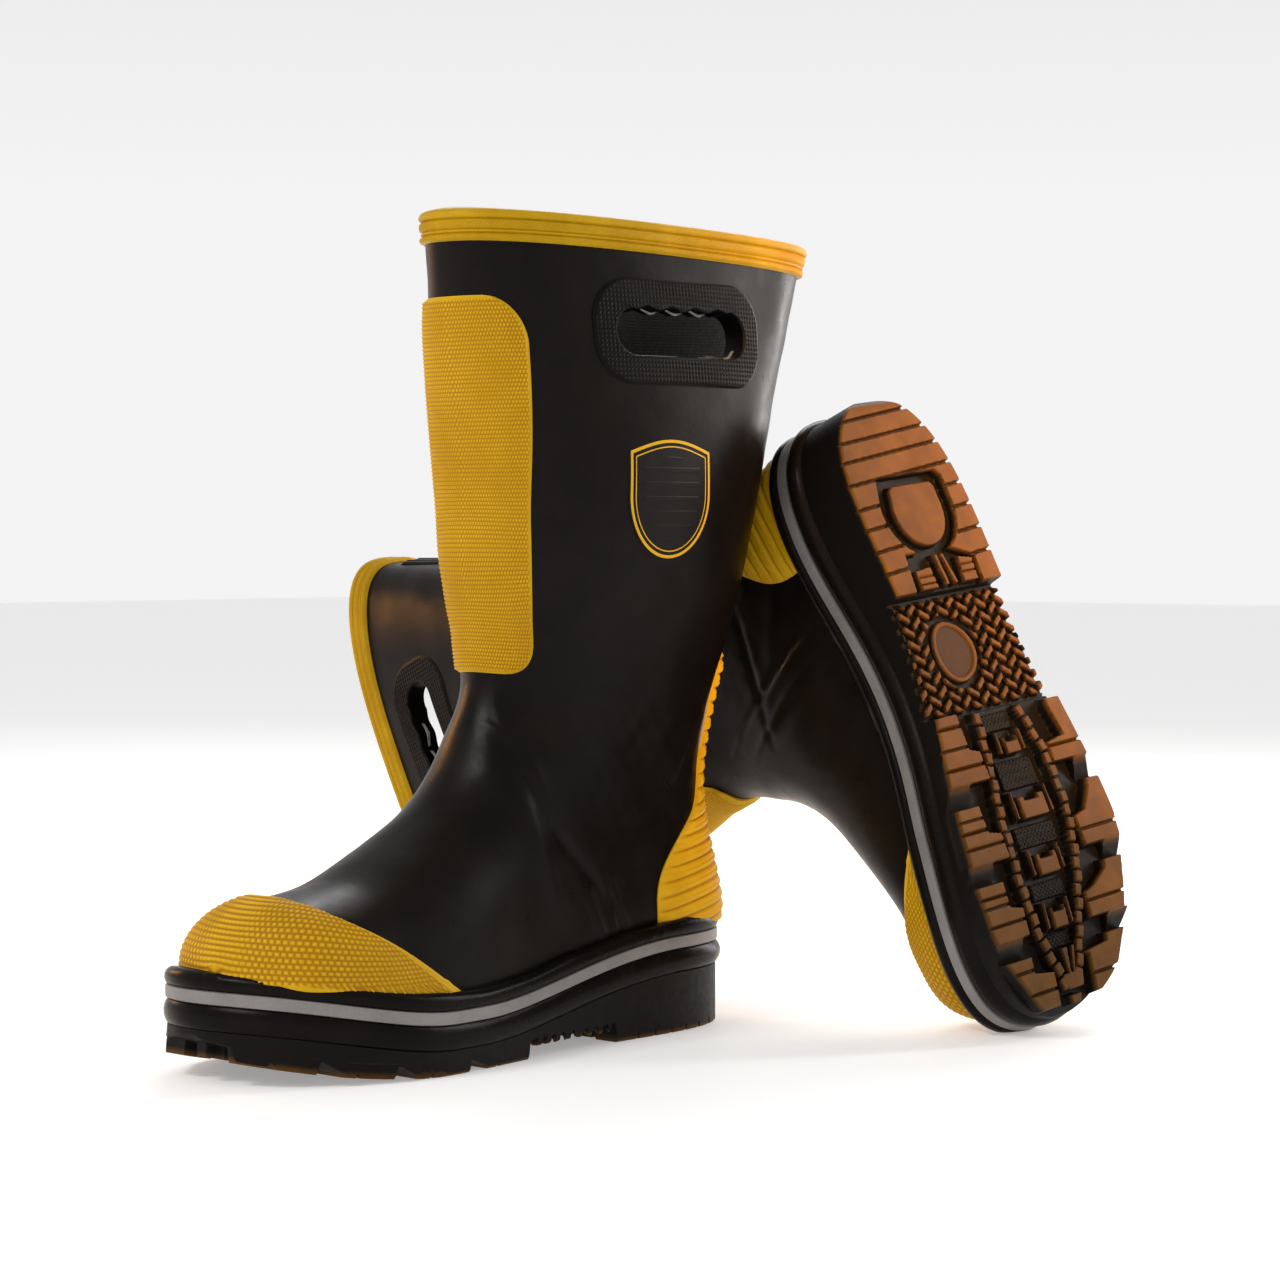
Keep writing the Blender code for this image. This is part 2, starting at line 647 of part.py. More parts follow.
def make_kit():
    """One material for each kind of stuff."""
    return {
        "rubber": make_material("black_rubber", (0.012, 0.011, 0.010), 0.32),
        "waffle": make_material("waffle_rubber", (0.016, 0.015, 0.014), 0.55),
        "yellow": make_material("yellow_rubber", (0.80, 0.50, 0.06), 0.48),
        "reflective": make_material("reflective_tape", (0.42, 0.41, 0.40), 0.35, 0.3),
        "outsole": make_material("tread_rubber", (0.030, 0.026, 0.024), 0.60),
        "badge": make_material("badge_rubber", (0.70, 0.44, 0.08), 0.45),
        "lining": make_material("knit_lining", (0.45, 0.40, 0.33), 0.95),
        "felt": make_material("wool_felt", (0.30, 0.28, 0.26), 0.98),
        "foam": make_material("shin_foam", (0.10, 0.10, 0.11), 0.9),
        "filler": make_material("midsole_foam", (0.05, 0.05, 0.05), 0.85),
        "board": make_material("fibre_board", (0.42, 0.30, 0.18), 0.85),
        "insole": make_material("insole_cloth", (0.20, 0.20, 0.22), 0.95),
        "steel": make_material("plain_steel", (0.62, 0.62, 0.63), 0.35, 1.0),
    }


def make_frame(name, heel, rotation):
    frame = bpy.data.objects.new(name, None)
    bpy.context.scene.collection.objects.link(frame)
    place = Vector(heel) - Vector((*PAIR_CENTRE, 0.0))
    frame.matrix_world = Matrix.Translation(place * MM) @ rotation
    return frame


def right_rotation():
    """Tips the boot forward over its toe, tilts it and turns it."""
    lean = Matrix.Rotation(math.radians(RIGHT_LEAN), 4, "Y")
    tilt = Matrix.Rotation(math.radians(RIGHT_TILT), 4, "X")
    turn = Matrix.Rotation(math.radians(RIGHT_TURN), 4, "Z")
    about = Matrix.Rotation(math.pi, 4, "Z")
    return turn @ tilt @ about @ lean


def build():
    for old in list(bpy.data.objects):
        bpy.data.objects.remove(old, do_unlink=True)
    kit = make_kit()
    left = make_frame("left_boot_frame", LEFT_HEEL, Matrix.Rotation(math.radians(LEFT_TURN), 4, "Z"))
    right = make_frame("right_boot_frame", RIGHT_HEEL, right_rotation())
    for side, frame in (("left", left), ("right", right)):
        boot = Boot(side, frame)
        add_upper(boot, kit)
        add_guards(boot, kit)
        add_binding(boot, kit)
        form = add_foxing(boot, kit)
        add_sole(boot, kit, form)
        add_footbed(boot, kit)
    bpy.context.view_layer.update()


build()
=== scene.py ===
"""Looks of the pair of fire boots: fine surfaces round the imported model, lights and camera.

Boot coordinates are in millimetres: x from heel to toe, y to the outer side, z up.
"""
import math

import bpy
import numpy as np
from mathutils import Matrix, Vector


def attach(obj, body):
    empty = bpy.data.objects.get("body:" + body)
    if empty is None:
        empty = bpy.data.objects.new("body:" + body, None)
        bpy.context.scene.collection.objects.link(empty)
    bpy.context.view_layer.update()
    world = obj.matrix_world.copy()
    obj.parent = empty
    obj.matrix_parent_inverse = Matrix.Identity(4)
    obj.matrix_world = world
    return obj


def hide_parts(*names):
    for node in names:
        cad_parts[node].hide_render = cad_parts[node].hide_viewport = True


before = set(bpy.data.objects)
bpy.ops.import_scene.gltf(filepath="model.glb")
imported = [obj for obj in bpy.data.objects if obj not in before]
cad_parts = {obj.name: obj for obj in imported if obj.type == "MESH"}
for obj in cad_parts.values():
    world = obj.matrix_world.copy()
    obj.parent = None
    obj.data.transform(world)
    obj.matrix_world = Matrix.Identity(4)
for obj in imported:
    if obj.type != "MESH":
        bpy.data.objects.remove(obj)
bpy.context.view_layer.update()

MM = 0.001
TURN = 2 * math.pi

# Driving sizes, the same as the model's.
LENGTH = 323.0
TOE_SPRING = 12.0
SHELL_THICK = 3.0
LINING_DEPTH = 8.2
LINING_FLOOR = 9.2
GUARD_THICK = 2.4
UNDER = -0.6  # where the hidden side of a patch lies in the rubber
STRIPE_HALF = 3.2
BEAD_HEIGHT = 8.0
FOXING_HEIGHT = 12.0
HEEL_BREAST = 105.0
TREAD_FRONT = 169.0
LUG_DEPTH = 7.0
SHANK_RISE = 9.0
RIM = 16.0  # the rim's section number
RIM_STEP = 55.0  # height between the last two sections

# Where each boot stands.
PAIR_CENTRE = (-56.24, -98.4)
LEFT_HEEL = (0.0, 0.0, 0.0)
LEFT_TURN = -90.0
RIGHT_HEEL = (86.0, 42.5, 318.41)
RIGHT_LEAN = 112.12
RIGHT_TILT = 6.7
RIGHT_TURN = -1.0

# Sections of the upper from the toe tip to the rim, as in the model.
SECTIONS = np.array((
    # top x, top z, low x, low z, outer, inner, widest, low power, top power
    (314, 52, 314, 45, 5, 5, 0.50, 2.2, 2.2),
    (310, 62, 310, 32, 22, 24, 0.45, 2.8, 2.2),
    (302, 74, 302, 27, 36, 38, 0.42, 3.2, 2.2),
    (280, 81, 280, 23, 47, 48, 0.38, 3.6, 2.2),
    (248, 86, 248, 20, 51, 51, 0.34, 4.0, 2.1),
    (214, 101, 210, 20, 52, 50, 0.30, 4.0, 2.0),
    (182, 119, 164, 23, 46, 43, 0.28, 4.0, 2.0),
    (160, 152, 95, 32, 41, 38, 0.28, 3.6, 2.0),
    (151, 178, 34, 36, 39, 37, 0.30, 3.0, 2.0),
    (150, 193, 7, 45, 39, 37, 0.32, 2.8, 2.2),
    (151, 206, 8, 64, 39, 37, 0.34, 2.7, 2.3),
    (154, 220, 16, 92, 40, 38, 0.36, 2.6, 2.4),
    (158, 234, 19, 120, 42, 40, 0.38, 2.5, 2.4),
    (159, 262, 1, 200, 55, 53, 0.42, 2.5, 2.4),
    (164, 300, -22, 275, 59, 57, 0.45, 2.5, 2.4),
    (172, 350, -45, 340, 54, 52, 0.47, 2.5, 2.4),
    (180, 403, -68, 397, 47, 45, 0.47, 2.5, 2.4),
), float)

# Outline of the sole, round from the back of the heel by the outer side.
SOLE = np.array((
    (0, -2), (6, 19), (26, 35), (62, 43), (109, 45), (160, 50), (203, 57), (244, 59.5),
    (278, 51), (306, 31), (323, -1), (323, -24), (311, -44), (283, -57), (244, -60),
    (206, -54), (161, -43), (114, -38), (62, -42), (27, -39), (6, -24),
), float)


# ---------------------------------------------------------------- surfaces of one boot

def natural_spline(knots, rows, at):
    """Reads a natural cubic spline through rows, one row for each knot, at the given places."""
    step = np.diff(knots)
    count = len(knots)
    left = np.eye(count)
    right = np.zeros(rows.shape)
    for i in range(1, count - 1):
        left[i, i - 1:i + 2] = step[i - 1], 2 * (step[i - 1] + step[i]), step[i]
        right[i] = 6 * ((rows[i + 1] - rows[i]) / step[i] - (rows[i] - rows[i - 1]) / step[i - 1])
    bend = np.linalg.solve(left, right)
    at = np.clip(at, knots[0], knots[-1])
    i = np.clip(np.searchsorted(knots, at) - 1, 0, count - 2)
    b = ((at - knots[i]) / step[i])[..., None]
    a = 1 - b
    curve = (a ** 3 - a) * bend[i] + (b ** 3 - b) * bend[i + 1]
    return a * rows[i] + b * rows[i + 1] + curve * step[i][..., None] ** 2 / 6


def section_knots():
    top = np.linalg.norm(np.diff(SECTIONS[:, 0:2], axis=0), axis=1)
    low = np.linalg.norm(np.diff(SECTIONS[:, 2:4], axis=0), axis=1)
    return np.concatenate([[0], np.cumsum((top + low) / 2)])


KNOTS = section_knots()
LAST = len(KNOTS) - 1


def section(u):
    return natural_spline(KNOTS, SECTIONS, np.interp(u, np.arange(len(KNOTS)), KNOTS))


def bare_skin(u, v):
    """Points of the upper's outer surface: u is the section's number, v the angle round it."""
    s = section(u)
    cos, sin = np.cos(v), np.sin(v)
    front = cos >= 0
    widest = s[..., 6]
    power = np.where(front, s[..., 8], s[..., 7])
    reach = np.abs(cos) ** (2 / power)
    along = np.where(front, widest + (1 - widest) * reach, widest - widest * reach)
    wide = np.where(sin >= 0, s[..., 4], s[..., 5])
    y = np.sign(sin) * wide * np.abs(sin) ** (2 / power)
    x = s[..., 2] + (s[..., 0] - s[..., 2]) * along
    z = s[..., 3] + (s[..., 1] - s[..., 3]) * along
    return np.stack([x, y, z], axis=-1)


# How far the rubber stands proud over the instep, by section number.
FULLNESS = ((0, 0), (2, 0.4), (4, 1.4), (5, 3.0), (6, 6.0), (7, 7.0), (8, 6.8), (9, 6.4),
            (11, 4.8), (12.6, 2.4), (14, 0.5), (15, 0))


def fullness(u, v):
    sections, amounts = np.array(FULLNESS, float).T
    return np.interp(u, sections, amounts) * smooth_step(np.cos(v), 0.0, 0.75)


def skin(u, v, offset=0.0):
    """Points of the upper's surface, moved out along its normal by offset.

    The fullness over the instep moves the outer side of the rubber, not its inner side.
    """
    u, v, offset = np.broadcast_arrays(*(np.asarray(a, float) for a in (u, v, offset)))
    offset = np.where(offset > 0.1 - SHELL_THICK, offset + fullness(u, v), offset)
    du = bare_skin(np.clip(u + 0.05, 0, LAST), v) - bare_skin(np.clip(u - 0.05, 0, LAST), v)
    dv = bare_skin(u, v + 0.06) - bare_skin(u, v - 0.06)
    normal = np.cross(dv, du)
    normal /= np.linalg.norm(normal, axis=-1, keepdims=True)
    return bare_skin(u, v) + normal * offset[..., None]


def bisect(beyond, low, high, steps=24):
    """Halves intervals, where beyond says which middles lie past the place that is sought."""
    for _ in range(steps):
        middle = (low + high) / 2
        past = beyond(middle)
        low, high = np.where(past, low, middle), np.where(past, middle, high)
    return low, middle, high


def find_place(x, z):
    """Where a point in side view lies: its section, the share along it and the roundness."""
    x, z = np.broadcast_arrays(np.asarray(x, float), np.asarray(z, float))

    def beyond(u):
        s = section(u)
        run, rise = s[..., 0] - s[..., 2], s[..., 1] - s[..., 3]
        return run * (z - s[..., 3]) - rise * (x - s[..., 2]) <= 0

    u = bisect(beyond, np.zeros(x.shape), np.full(x.shape, float(LAST)), 26)[1]
    s = section(u)
    run, rise = s[..., 0] - s[..., 2], s[..., 1] - s[..., 3]
    along = ((x - s[..., 2]) * run + (z - s[..., 3]) * rise) / (run ** 2 + rise ** 2)
    widest = s[..., 6]
    front = along >= widest
    share = np.where(front, (along - widest) / (1 - widest), (widest - along) / widest)
    return u, s, along, front, share, np.where(front, s[..., 8], s[..., 7])


def from_side(x, z, side):
    """The (u, v) of a point of the upper seen from its outer (1) or inner (-1) side."""
    u, _, _, front, share, power = find_place(x, z)
    cos = np.clip(share, 0, 1) ** (power / 2) * np.where(front, 1, -1)
    return u, side * np.arccos(cos)


def half_width(x, z, side):
    """How far the upper reaches to one side at a point in side view, or less than 0 outside."""
    _, s, along, _, share, power = find_place(x, z)
    wide = np.where(side >= 0, s[..., 4], s[..., 5])
    inside = np.clip(1 - np.clip(share, 0, 1) ** power, 0, 1) ** (1 / power) * wide
    return np.where((along > 0) & (along < 1), inside, -1.0)


def at_height(z, v, low=7.0, high=float(LAST)):
    """The section number at which the upper reaches a height, for each angle."""
    z, v = np.broadcast_arrays(np.asarray(z, float), np.asarray(v, float))
    return bisect(lambda u: bare_skin(u, v)[..., 2] >= z, np.full(v.shape, low),
                  np.full(v.shape, high))[0]


def smooth_step(value, low, high):
    t = np.clip((np.asarray(value, float) - low) / (high - low), 0, 1)
    return t * t * (3 - 2 * t)


def spring(x):
    """How far the sole has risen from the ground at x."""
    return TOE_SPRING * np.clip((np.asarray(x, float) / LENGTH - 0.72) / 0.28, 0, 1) ** 2


def stripe_level(x):
    """Height of the middle of the reflective stripe."""
    return 26.5 + 18.5 * (1 - smooth_step(x, 55, 205)) + 13.5 * smooth_step(x, 225, 335)


def stripe_low(x):
    return stripe_level(x) - STRIPE_HALF


def stripe_high(x):
    return stripe_level(x) + STRIPE_HALF


def bead_top(x):
    return stripe_high(x) + BEAD_HEIGHT


def outsole_top(x):
    return stripe_low(x) - FOXING_HEIGHT


def footbed_level(x):
    order = np.argsort(SECTIONS[:10, 2])
    return np.interp(x, SECTIONS[:10, 2][order], SECTIONS[:10, 3][order])


def walk(path):
    """How far along a path each of its points lies."""
    return np.concatenate([[0], np.cumsum(np.linalg.norm(np.diff(path, axis=0), axis=1))])


def sole_outline(count):
    """Points round the sole and their outward normals, evenly spaced."""
    ring = np.vstack([SOLE, SOLE, SOLE, SOLE[:1]])
    gaps = np.linalg.norm(np.diff(ring, axis=0), axis=1) ** 0.5
    knots = np.concatenate([[0], np.cumsum(gaps)])
    turn = knots[len(SOLE)]
    fine = turn + np.arange(4 * count + 1) * turn / (4 * count)
    path = natural_spline(knots, ring, fine)
    length = walk(path)
    at = np.interp(np.arange(count) * length[-1] / count, length, fine)
    points = natural_spline(knots, ring, at)
    slope = natural_spline(knots, ring, at + 0.01) - natural_spline(knots, ring, at - 0.01)
    normal = np.stack([-slope[:, 1], slope[:, 0]], axis=1)
    return points, normal / np.linalg.norm(normal, axis=1, keepdims=True)


def waves(points, seed, size, turns=7):
    """A smooth random field: a few sine waves in fixed random directions."""
    pick = np.random.default_rng(seed)
    total = np.zeros(points.shape[:-1])
    for _ in range(turns):
        way = pick.normal(size=3)
        way /= np.linalg.norm(way)
        total += np.sin(points @ way * TURN / (size * pick.uniform(0.6, 1.6)) + pick.uniform(0, TURN))
    return total / math.sqrt(turns)


def pulse(value, pitch, sharp=1.5):
    """Rounded ridges of the given pitch, between 0 and 1."""
    return np.clip(0.5 + sharp * 0.5 * np.cos(TURN * value / pitch), 0, 1)


# ---------------------------------------------------------------- meshes

FLOOR_DENT = 1.0  # the lying boot's rubber flattens over this height where it meets the floor


def world_matrix(side):
    if side == "left":
        turn = Matrix.Rotation(math.radians(LEFT_TURN), 3, "Z")
        heel = LEFT_HEEL
    else:
        turn = (Matrix.Rotation(math.radians(RIGHT_TURN), 3, "Z")
                @ Matrix.Rotation(math.radians(RIGHT_TILT), 3, "X")
                @ Matrix.Rotation(math.pi, 3, "Z")
                @ Matrix.Rotation(math.radians(RIGHT_LEAN), 3, "Y"))
        heel = RIGHT_HEEL
    place = np.array(heel) - np.array((*PAIR_CENTRE, 0.0))
    return np.array(turn), place


def to_world(points, side):
    turn, place = world_matrix(side)
    flip = 1.0 if side == "left" else -1.0
    world = (points * (1, flip, 1)) @ turn.T + place
    if side == "right":
        low = np.minimum(world[..., 2], FLOOR_DENT)
        world[..., 2] += FLOOR_DENT * np.exp(low / FLOOR_DENT - 1) - low
    return world * MM


SHARP_ANGLE = math.radians(50.0)


def make_piece(side, name, points, faces, material, values=None):
    """Adds one mesh from points in boot coordinates, with its faces pointing out."""
    points = np.asarray(points, float).reshape(-1, 3)
    faces = [f for f in faces if f.size]
    used, renumber = np.unique(np.concatenate([f.ravel() for f in faces]), return_inverse=True)
    world = to_world(points[used], side)
    split = np.cumsum([f.size for f in faces])[:-1]
    parts = [p.reshape(f.shape) for p, f in zip(np.split(renumber, split), faces)]
    volume = 0.0
    for part in parts:
        for k in range(1, part.shape[1] - 1):
            a, b, c = (world[part[:, j]] for j in (0, k, k + 1))
            volume += np.einsum("ij,ij->", a, np.cross(b, c))
    if volume < 0:
        parts = [p[:, ::-1] for p in parts]
    mesh = bpy.data.meshes.new(side + "_" + name)
    mesh.from_pydata(world.tolist(), [], [f for p in parts for f in p.tolist()])
    mesh.shade_smooth()
    mesh.set_sharp_from_angle(angle=SHARP_ANGLE)
    if values is not None:
        layer = mesh.attributes.new("relief", "FLOAT", "POINT")
        layer.data.foreach_set("value", np.asarray(values, np.float32).ravel()[used])
    mesh.materials.append(material)
    piece = bpy.data.objects.new(side + "_" + name, mesh)
    bpy.context.scene.collection.objects.link(piece)
    return piece


def sheet_faces(rows, cols, keep=None, wrap=False, coarse=1):
    """Faces of a thick sheet: a fine net on top, a coarser one below and walls between.

    The lower net has one point for every few points of the upper one, and keep says which of
    its cells are there. Points of the lower net are numbered after those of the upper net.
    """
    cells = ((rows - 1) // coarse, (cols if wrap else cols - 1) // coarse)
    low_cols = cols // coarse if wrap else cells[1] + 1
    keep = np.ones(cells, bool) if keep is None else keep
    fine = np.repeat(np.repeat(keep, coarse, axis=0), coarse, axis=1)
    r, c = np.nonzero(fine)
    d = (c + 1) % cols
    faces = [np.column_stack([r * cols + c, r * cols + d, (r + 1) * cols + d, (r + 1) * cols + c])]
    count = rows * cols
    r, c = np.nonzero(keep)
    d = (c + 1) % low_cols
    a, b = r * low_cols + c, r * low_cols + d
    e, f = (r + 1) * low_cols + d, (r + 1) * low_cols + c
    faces.append(np.column_stack([f, e, b, a]) + count)
    padded = np.zeros((cells[0] + 2, cells[1] + 2), bool)
    padded[1:-1, 1:-1] = keep
    if wrap:
        padded[1:-1, 0] = keep[:, -1]
        padded[1:-1, -1] = keep[:, 0]
    steps = np.arange(coarse + 1)[None, :]
    r0, c0 = (r * coarse)[:, None], (c * coarse)[:, None]
    edges = (
        ((-1, 0), r0 + 0 * steps, c0 + steps, a, b),
        ((0, 1), r0 + steps, c0 + coarse + 0 * steps, b, e),
        ((1, 0), r0 + coarse + 0 * steps, c0 + coarse - steps, e, f),
        ((0, -1), r0 + coarse - steps, c0 + 0 * steps, f, a))
    for (dr, dc), er, ec, first, last in edges:
        bare = ~padded[r + 1 + dr, c + 1 + dc]
        line = (er * cols + ec % cols)[bare][:, ::-1]
        faces.append(np.column_stack([line, first[bare] + count, last[bare] + count]))
    return faces


def make_sheet(side, name, top, low, material, keep=None, wrap=False, values=None, coarse=1):
    rows, cols = top.shape[:2]
    low = low[::coarse, ::coarse]
    points = np.concatenate([top.reshape(-1, 3), low.reshape(-1, 3)])
    if values is not None:
        values = np.concatenate([values.ravel(), np.full(low.shape[0] * low.shape[1], 0.5)])
    faces = sheet_faces(rows, cols, keep, wrap, coarse)
    return make_piece(side, name, points, faces, material, values)


def make_disc(side, name, top, low, material, values):
    """A thick sheet of rings, whose innermost rings are closed by fans."""
    rows, cols = top.shape[:2]
    points = np.concatenate([top.reshape(-1, 3), low.reshape(-1, 3), [top[0].mean(axis=0)],
                             [low[0].mean(axis=0)]])
    count = rows * cols
    faces = sheet_faces(rows, cols, wrap=True)
    faces.pop(2)
    turn = np.arange(cols)
    ahead = (turn + 1) % cols
    fans = [np.column_stack([ahead, turn, 0 * turn + 2 * count]),
            np.column_stack([turn + count, ahead + count, 0 * turn + 2 * count + 1])]
    values = np.concatenate([values.ravel(), np.zeros(count), [values[0].mean()], [0]])
    return make_piece(side, name, points, faces + fans, material, values)


def make_ring(side, name, loops, material):
    """A strip whose section is one closed polygon carried round the loops."""
    rows, cols = loops.shape[:2]
    r, c = np.meshgrid(np.arange(rows), np.arange(cols), indexing="ij")
    s, d = (r + 1) % rows, (c + 1) % cols
    faces = np.stack([r * cols + c, r * cols + d, s * cols + d, s * cols + c], axis=-1)
    return make_piece(side, name, loops, [faces.reshape(-1, 4)], material)


# ---------------------------------------------------------------- materials

class Look:
    """A procedural material being made, with a short call for each kind of node."""

    def __init__(self, name, **settings):
        self.material = bpy.data.materials.new(name)
        self.material.use_nodes = True
        self.tree = self.material.node_tree
        self.shader = self.tree.nodes["Principled BSDF"]
        for key, value in settings.items():
            self.shader.inputs[key.replace("_", " ")].default_value = value
        self.place = self.node("TexCoord").outputs["Object"]

    def node(self, kind, **inputs):
        made = self.tree.nodes.new("ShaderNode" + kind)
        for name, value in inputs.items():
            socket = made.inputs[name.replace("_", " ")]
            if isinstance(value, bpy.types.NodeSocket):
                self.tree.links.new(value, socket)
            else:
                socket.default_value = value
        return made

    def noise(self, scale, detail=4.0, roughness=0.55):
        return self.node("TexNoise", Vector=self.place, Scale=scale, Detail=detail,
                         Roughness=roughness).outputs["Fac"]

    def remap(self, value, low, high, to_low, to_high):
        return self.node("MapRange", Value=value, From_Min=low, From_Max=high, To_Min=to_low,
                         To_Max=to_high).outputs["Result"]

    def mix(self, share, a, b):
        """Mixes two colours, each a plain colour or a socket, by a share."""
        return mix_colour(self.tree, share, a, b)

    def bump(self, height, strength, distance, **under):
        return self.node("Bump", Height=height, Strength=strength, Distance=distance,
                         **under).outputs["Normal"]

    def relief(self):
        """The height that a mesh keeps at each of its points, between 0 and 1."""
        made = self.node("Attribute")
        made.attribute_name = "relief"
        return made.outputs["Fac"]

    def finish(self, **sockets):
        for name, source in sockets.items():
            self.tree.links.new(source, self.shader.inputs[name.replace("_", " ")])
        return self.material


def mix_colour(tree, share, a, b):
    node = tree.nodes.new("ShaderNodeMix")
    node.data_type = "RGBA"
    tree.links.new(share, node.inputs["Factor"])
    for socket, colour in ((node.inputs[6], a), (node.inputs[7], b)):
        if isinstance(colour, tuple):
            socket.default_value = (*colour, 1.0)
        else:
            tree.links.new(colour, socket)
    return node.outputs[2]


def rubber(name, dark, light, rough, grain=1400.0, spec=0.09, hollow_shade=None):
    """Moulded rubber: blotchy colour, dust specks, uneven polish and a fine grain.

    Where a hollow colour is given, it is painted into the low places of the relief as shade.
    """
    look = Look(name, Specular_IOR_Level=spec)
    blotch = look.noise(34.0, 5.0, 0.6)
    colour = look.mix(look.remap(blotch, 0.35, 0.68, 0, 1), dark, light)
    dust = tuple(min(1.0, c * 2.0 + 0.02) for c in light)
    colour = look.mix(look.remap(look.noise(900.0, 1.0), 0.76, 0.82, 0, 0.3), colour, dust)
    # painted shade: the low places of the relief take the darker hollow colour
    if hollow_shade:
        colour = look.mix(look.remap(look.relief(), 0.05, 0.7, 0, 1), hollow_shade, colour)
    polish = look.remap(look.noise(70.0, 6.0, 0.65), 0.3, 0.7, *rough)
    soft = look.bump(look.noise(190.0, 3.0), 0.35, 0.00018)
    fine = look.bump(look.noise(grain, 3.0), 0.5, 0.00010, Normal=soft)
    return look.finish(Base_Color=colour, Roughness=polish, Normal=fine)


def worn_tread_with_painted_light(name, low, high, dusty_and_lit, rough):
    """Tread rubber: black in the grooves; the faces that meet the ground show scuffs and dust, and
    their orange-brown is partly painted warm light.
    """
    look = Look(name, Specular_IOR_Level=0.10)
    face = look.mix(look.remap(look.noise(60.0, 6.0, 0.7), 0.35, 0.7, 0, 1), high, dusty_and_lit)
    # faces that meet the ground get the orange-brown of dust and painted warm light; grooves stay black
    colour = look.mix(look.remap(look.relief(), 0.35, 0.95, 0, 1), low, face)
    polish = look.remap(look.noise(240.0, 5.0, 0.7), 0.3, 0.7, *rough)
    pits = look.bump(look.noise(700.0, 5.0, 0.75), 0.6, 0.00012)
    return look.finish(Base_Color=colour, Roughness=polish, Normal=pits)


def fabric(name, dark, light, pitch):
    """Knitted or felted cloth from two crossed waves and a fuzzy grain."""
    look = Look(name, Roughness=0.95, Sheen_Weight=0.3)
    heights = []
    for direction in ("X", "Z"):
        wave = look.node("TexWave", Vector=look.place, Scale=0.31 / pitch, Distortion=1.2,
                         Detail_Scale=3.0)
        wave.bands_direction = direction
        heights.append(wave.outputs["Fac"])
    cross = look.tree.nodes.new("ShaderNodeMath")
    cross.operation = "MULTIPLY"
    for height, socket in zip(heights, cross.inputs):
        look.tree.links.new(height, socket)
    fuzz = look.noise(500.0, 6.0, 0.8)
    woven = look.bump(cross.outputs[0], 0.7, 0.0004)
    return look.finish(Base_Color=look.mix(look.remap(fuzz, 0.3, 0.7, 0, 1), dark, light),
                       Normal=look.bump(fuzz, 0.5, 0.0003, Normal=woven))


def tape(name):
    """Grey retroreflective tape: a fine bead sparkle on a flat grey."""
    look = Look(name, Metallic=0.25)
    beads = look.node("TexVoronoi", Vector=look.place, Scale=2200.0).outputs["Distance"]
    cloud = look.noise(45.0, 4.0)
    grey = look.mix(look.remap(cloud, 0.35, 0.65, 0, 1), (0.17, 0.158, 0.150), (0.22, 0.205, 0.196))
    sparkle = look.mix(look.remap(beads, 0.0, 0.6, 0.55, 0.0), grey, (0.34, 0.32, 0.31))
    return look.finish(Base_Color=sparkle, Roughness=look.remap(cloud, 0.3, 0.7, 0.42, 0.58),
                       Normal=look.bump(beads, 0.4, 0.00005))


def metal(name, colour, rough):
    """Brushed sheet metal."""
    look = Look(name, Metallic=1.0)
    brush = look.noise(160.0, 8.0, 0.7)
    return look.finish(Base_Color=look.mix(brush, tuple(c * 0.8 for c in colour), colour),
                       Roughness=look.remap(brush, 0.3, 0.7, *rough),
                       Normal=look.bump(brush, 0.2, 0.0001))


def board(name, dark, light):
    """Pressed fibre or cut foam."""
    look = Look(name)
    fibre = look.noise(420.0, 8.0, 0.8)
    return look.finish(Base_Color=look.mix(fibre, dark, light),
                       Roughness=look.remap(fibre, 0.3, 0.7, 0.75, 0.95),
                       Normal=look.bump(fibre, 0.6, 0.0002))


def badge_rubber():
    """One skin in two colours: the shield's raised lines are yellow."""
    look = Look("badge_two_tone", Specular_IOR_Level=0.14)
    cloud = look.noise(120.0, 4.0)
    colour = look.mix(look.remap(look.relief(), 0.4, 0.6, 0, 1), look.mix(cloud, BLACK, BROWN_BLACK),
                      look.mix(cloud, YELLOW, YELLOW_LIGHT))
    return look.finish(Base_Color=colour, Roughness=look.remap(cloud, 0.3, 0.7, 0.3, 0.42),
                       Normal=look.bump(look.noise(900.0, 3.0), 0.4, 0.00005))


BLACK = (0.0045, 0.0034, 0.0030)
BROWN_BLACK = (0.0070, 0.0050, 0.0042)
YELLOW = (0.58, 0.320, 0.005)
YELLOW_LIGHT = (0.69, 0.405, 0.013)
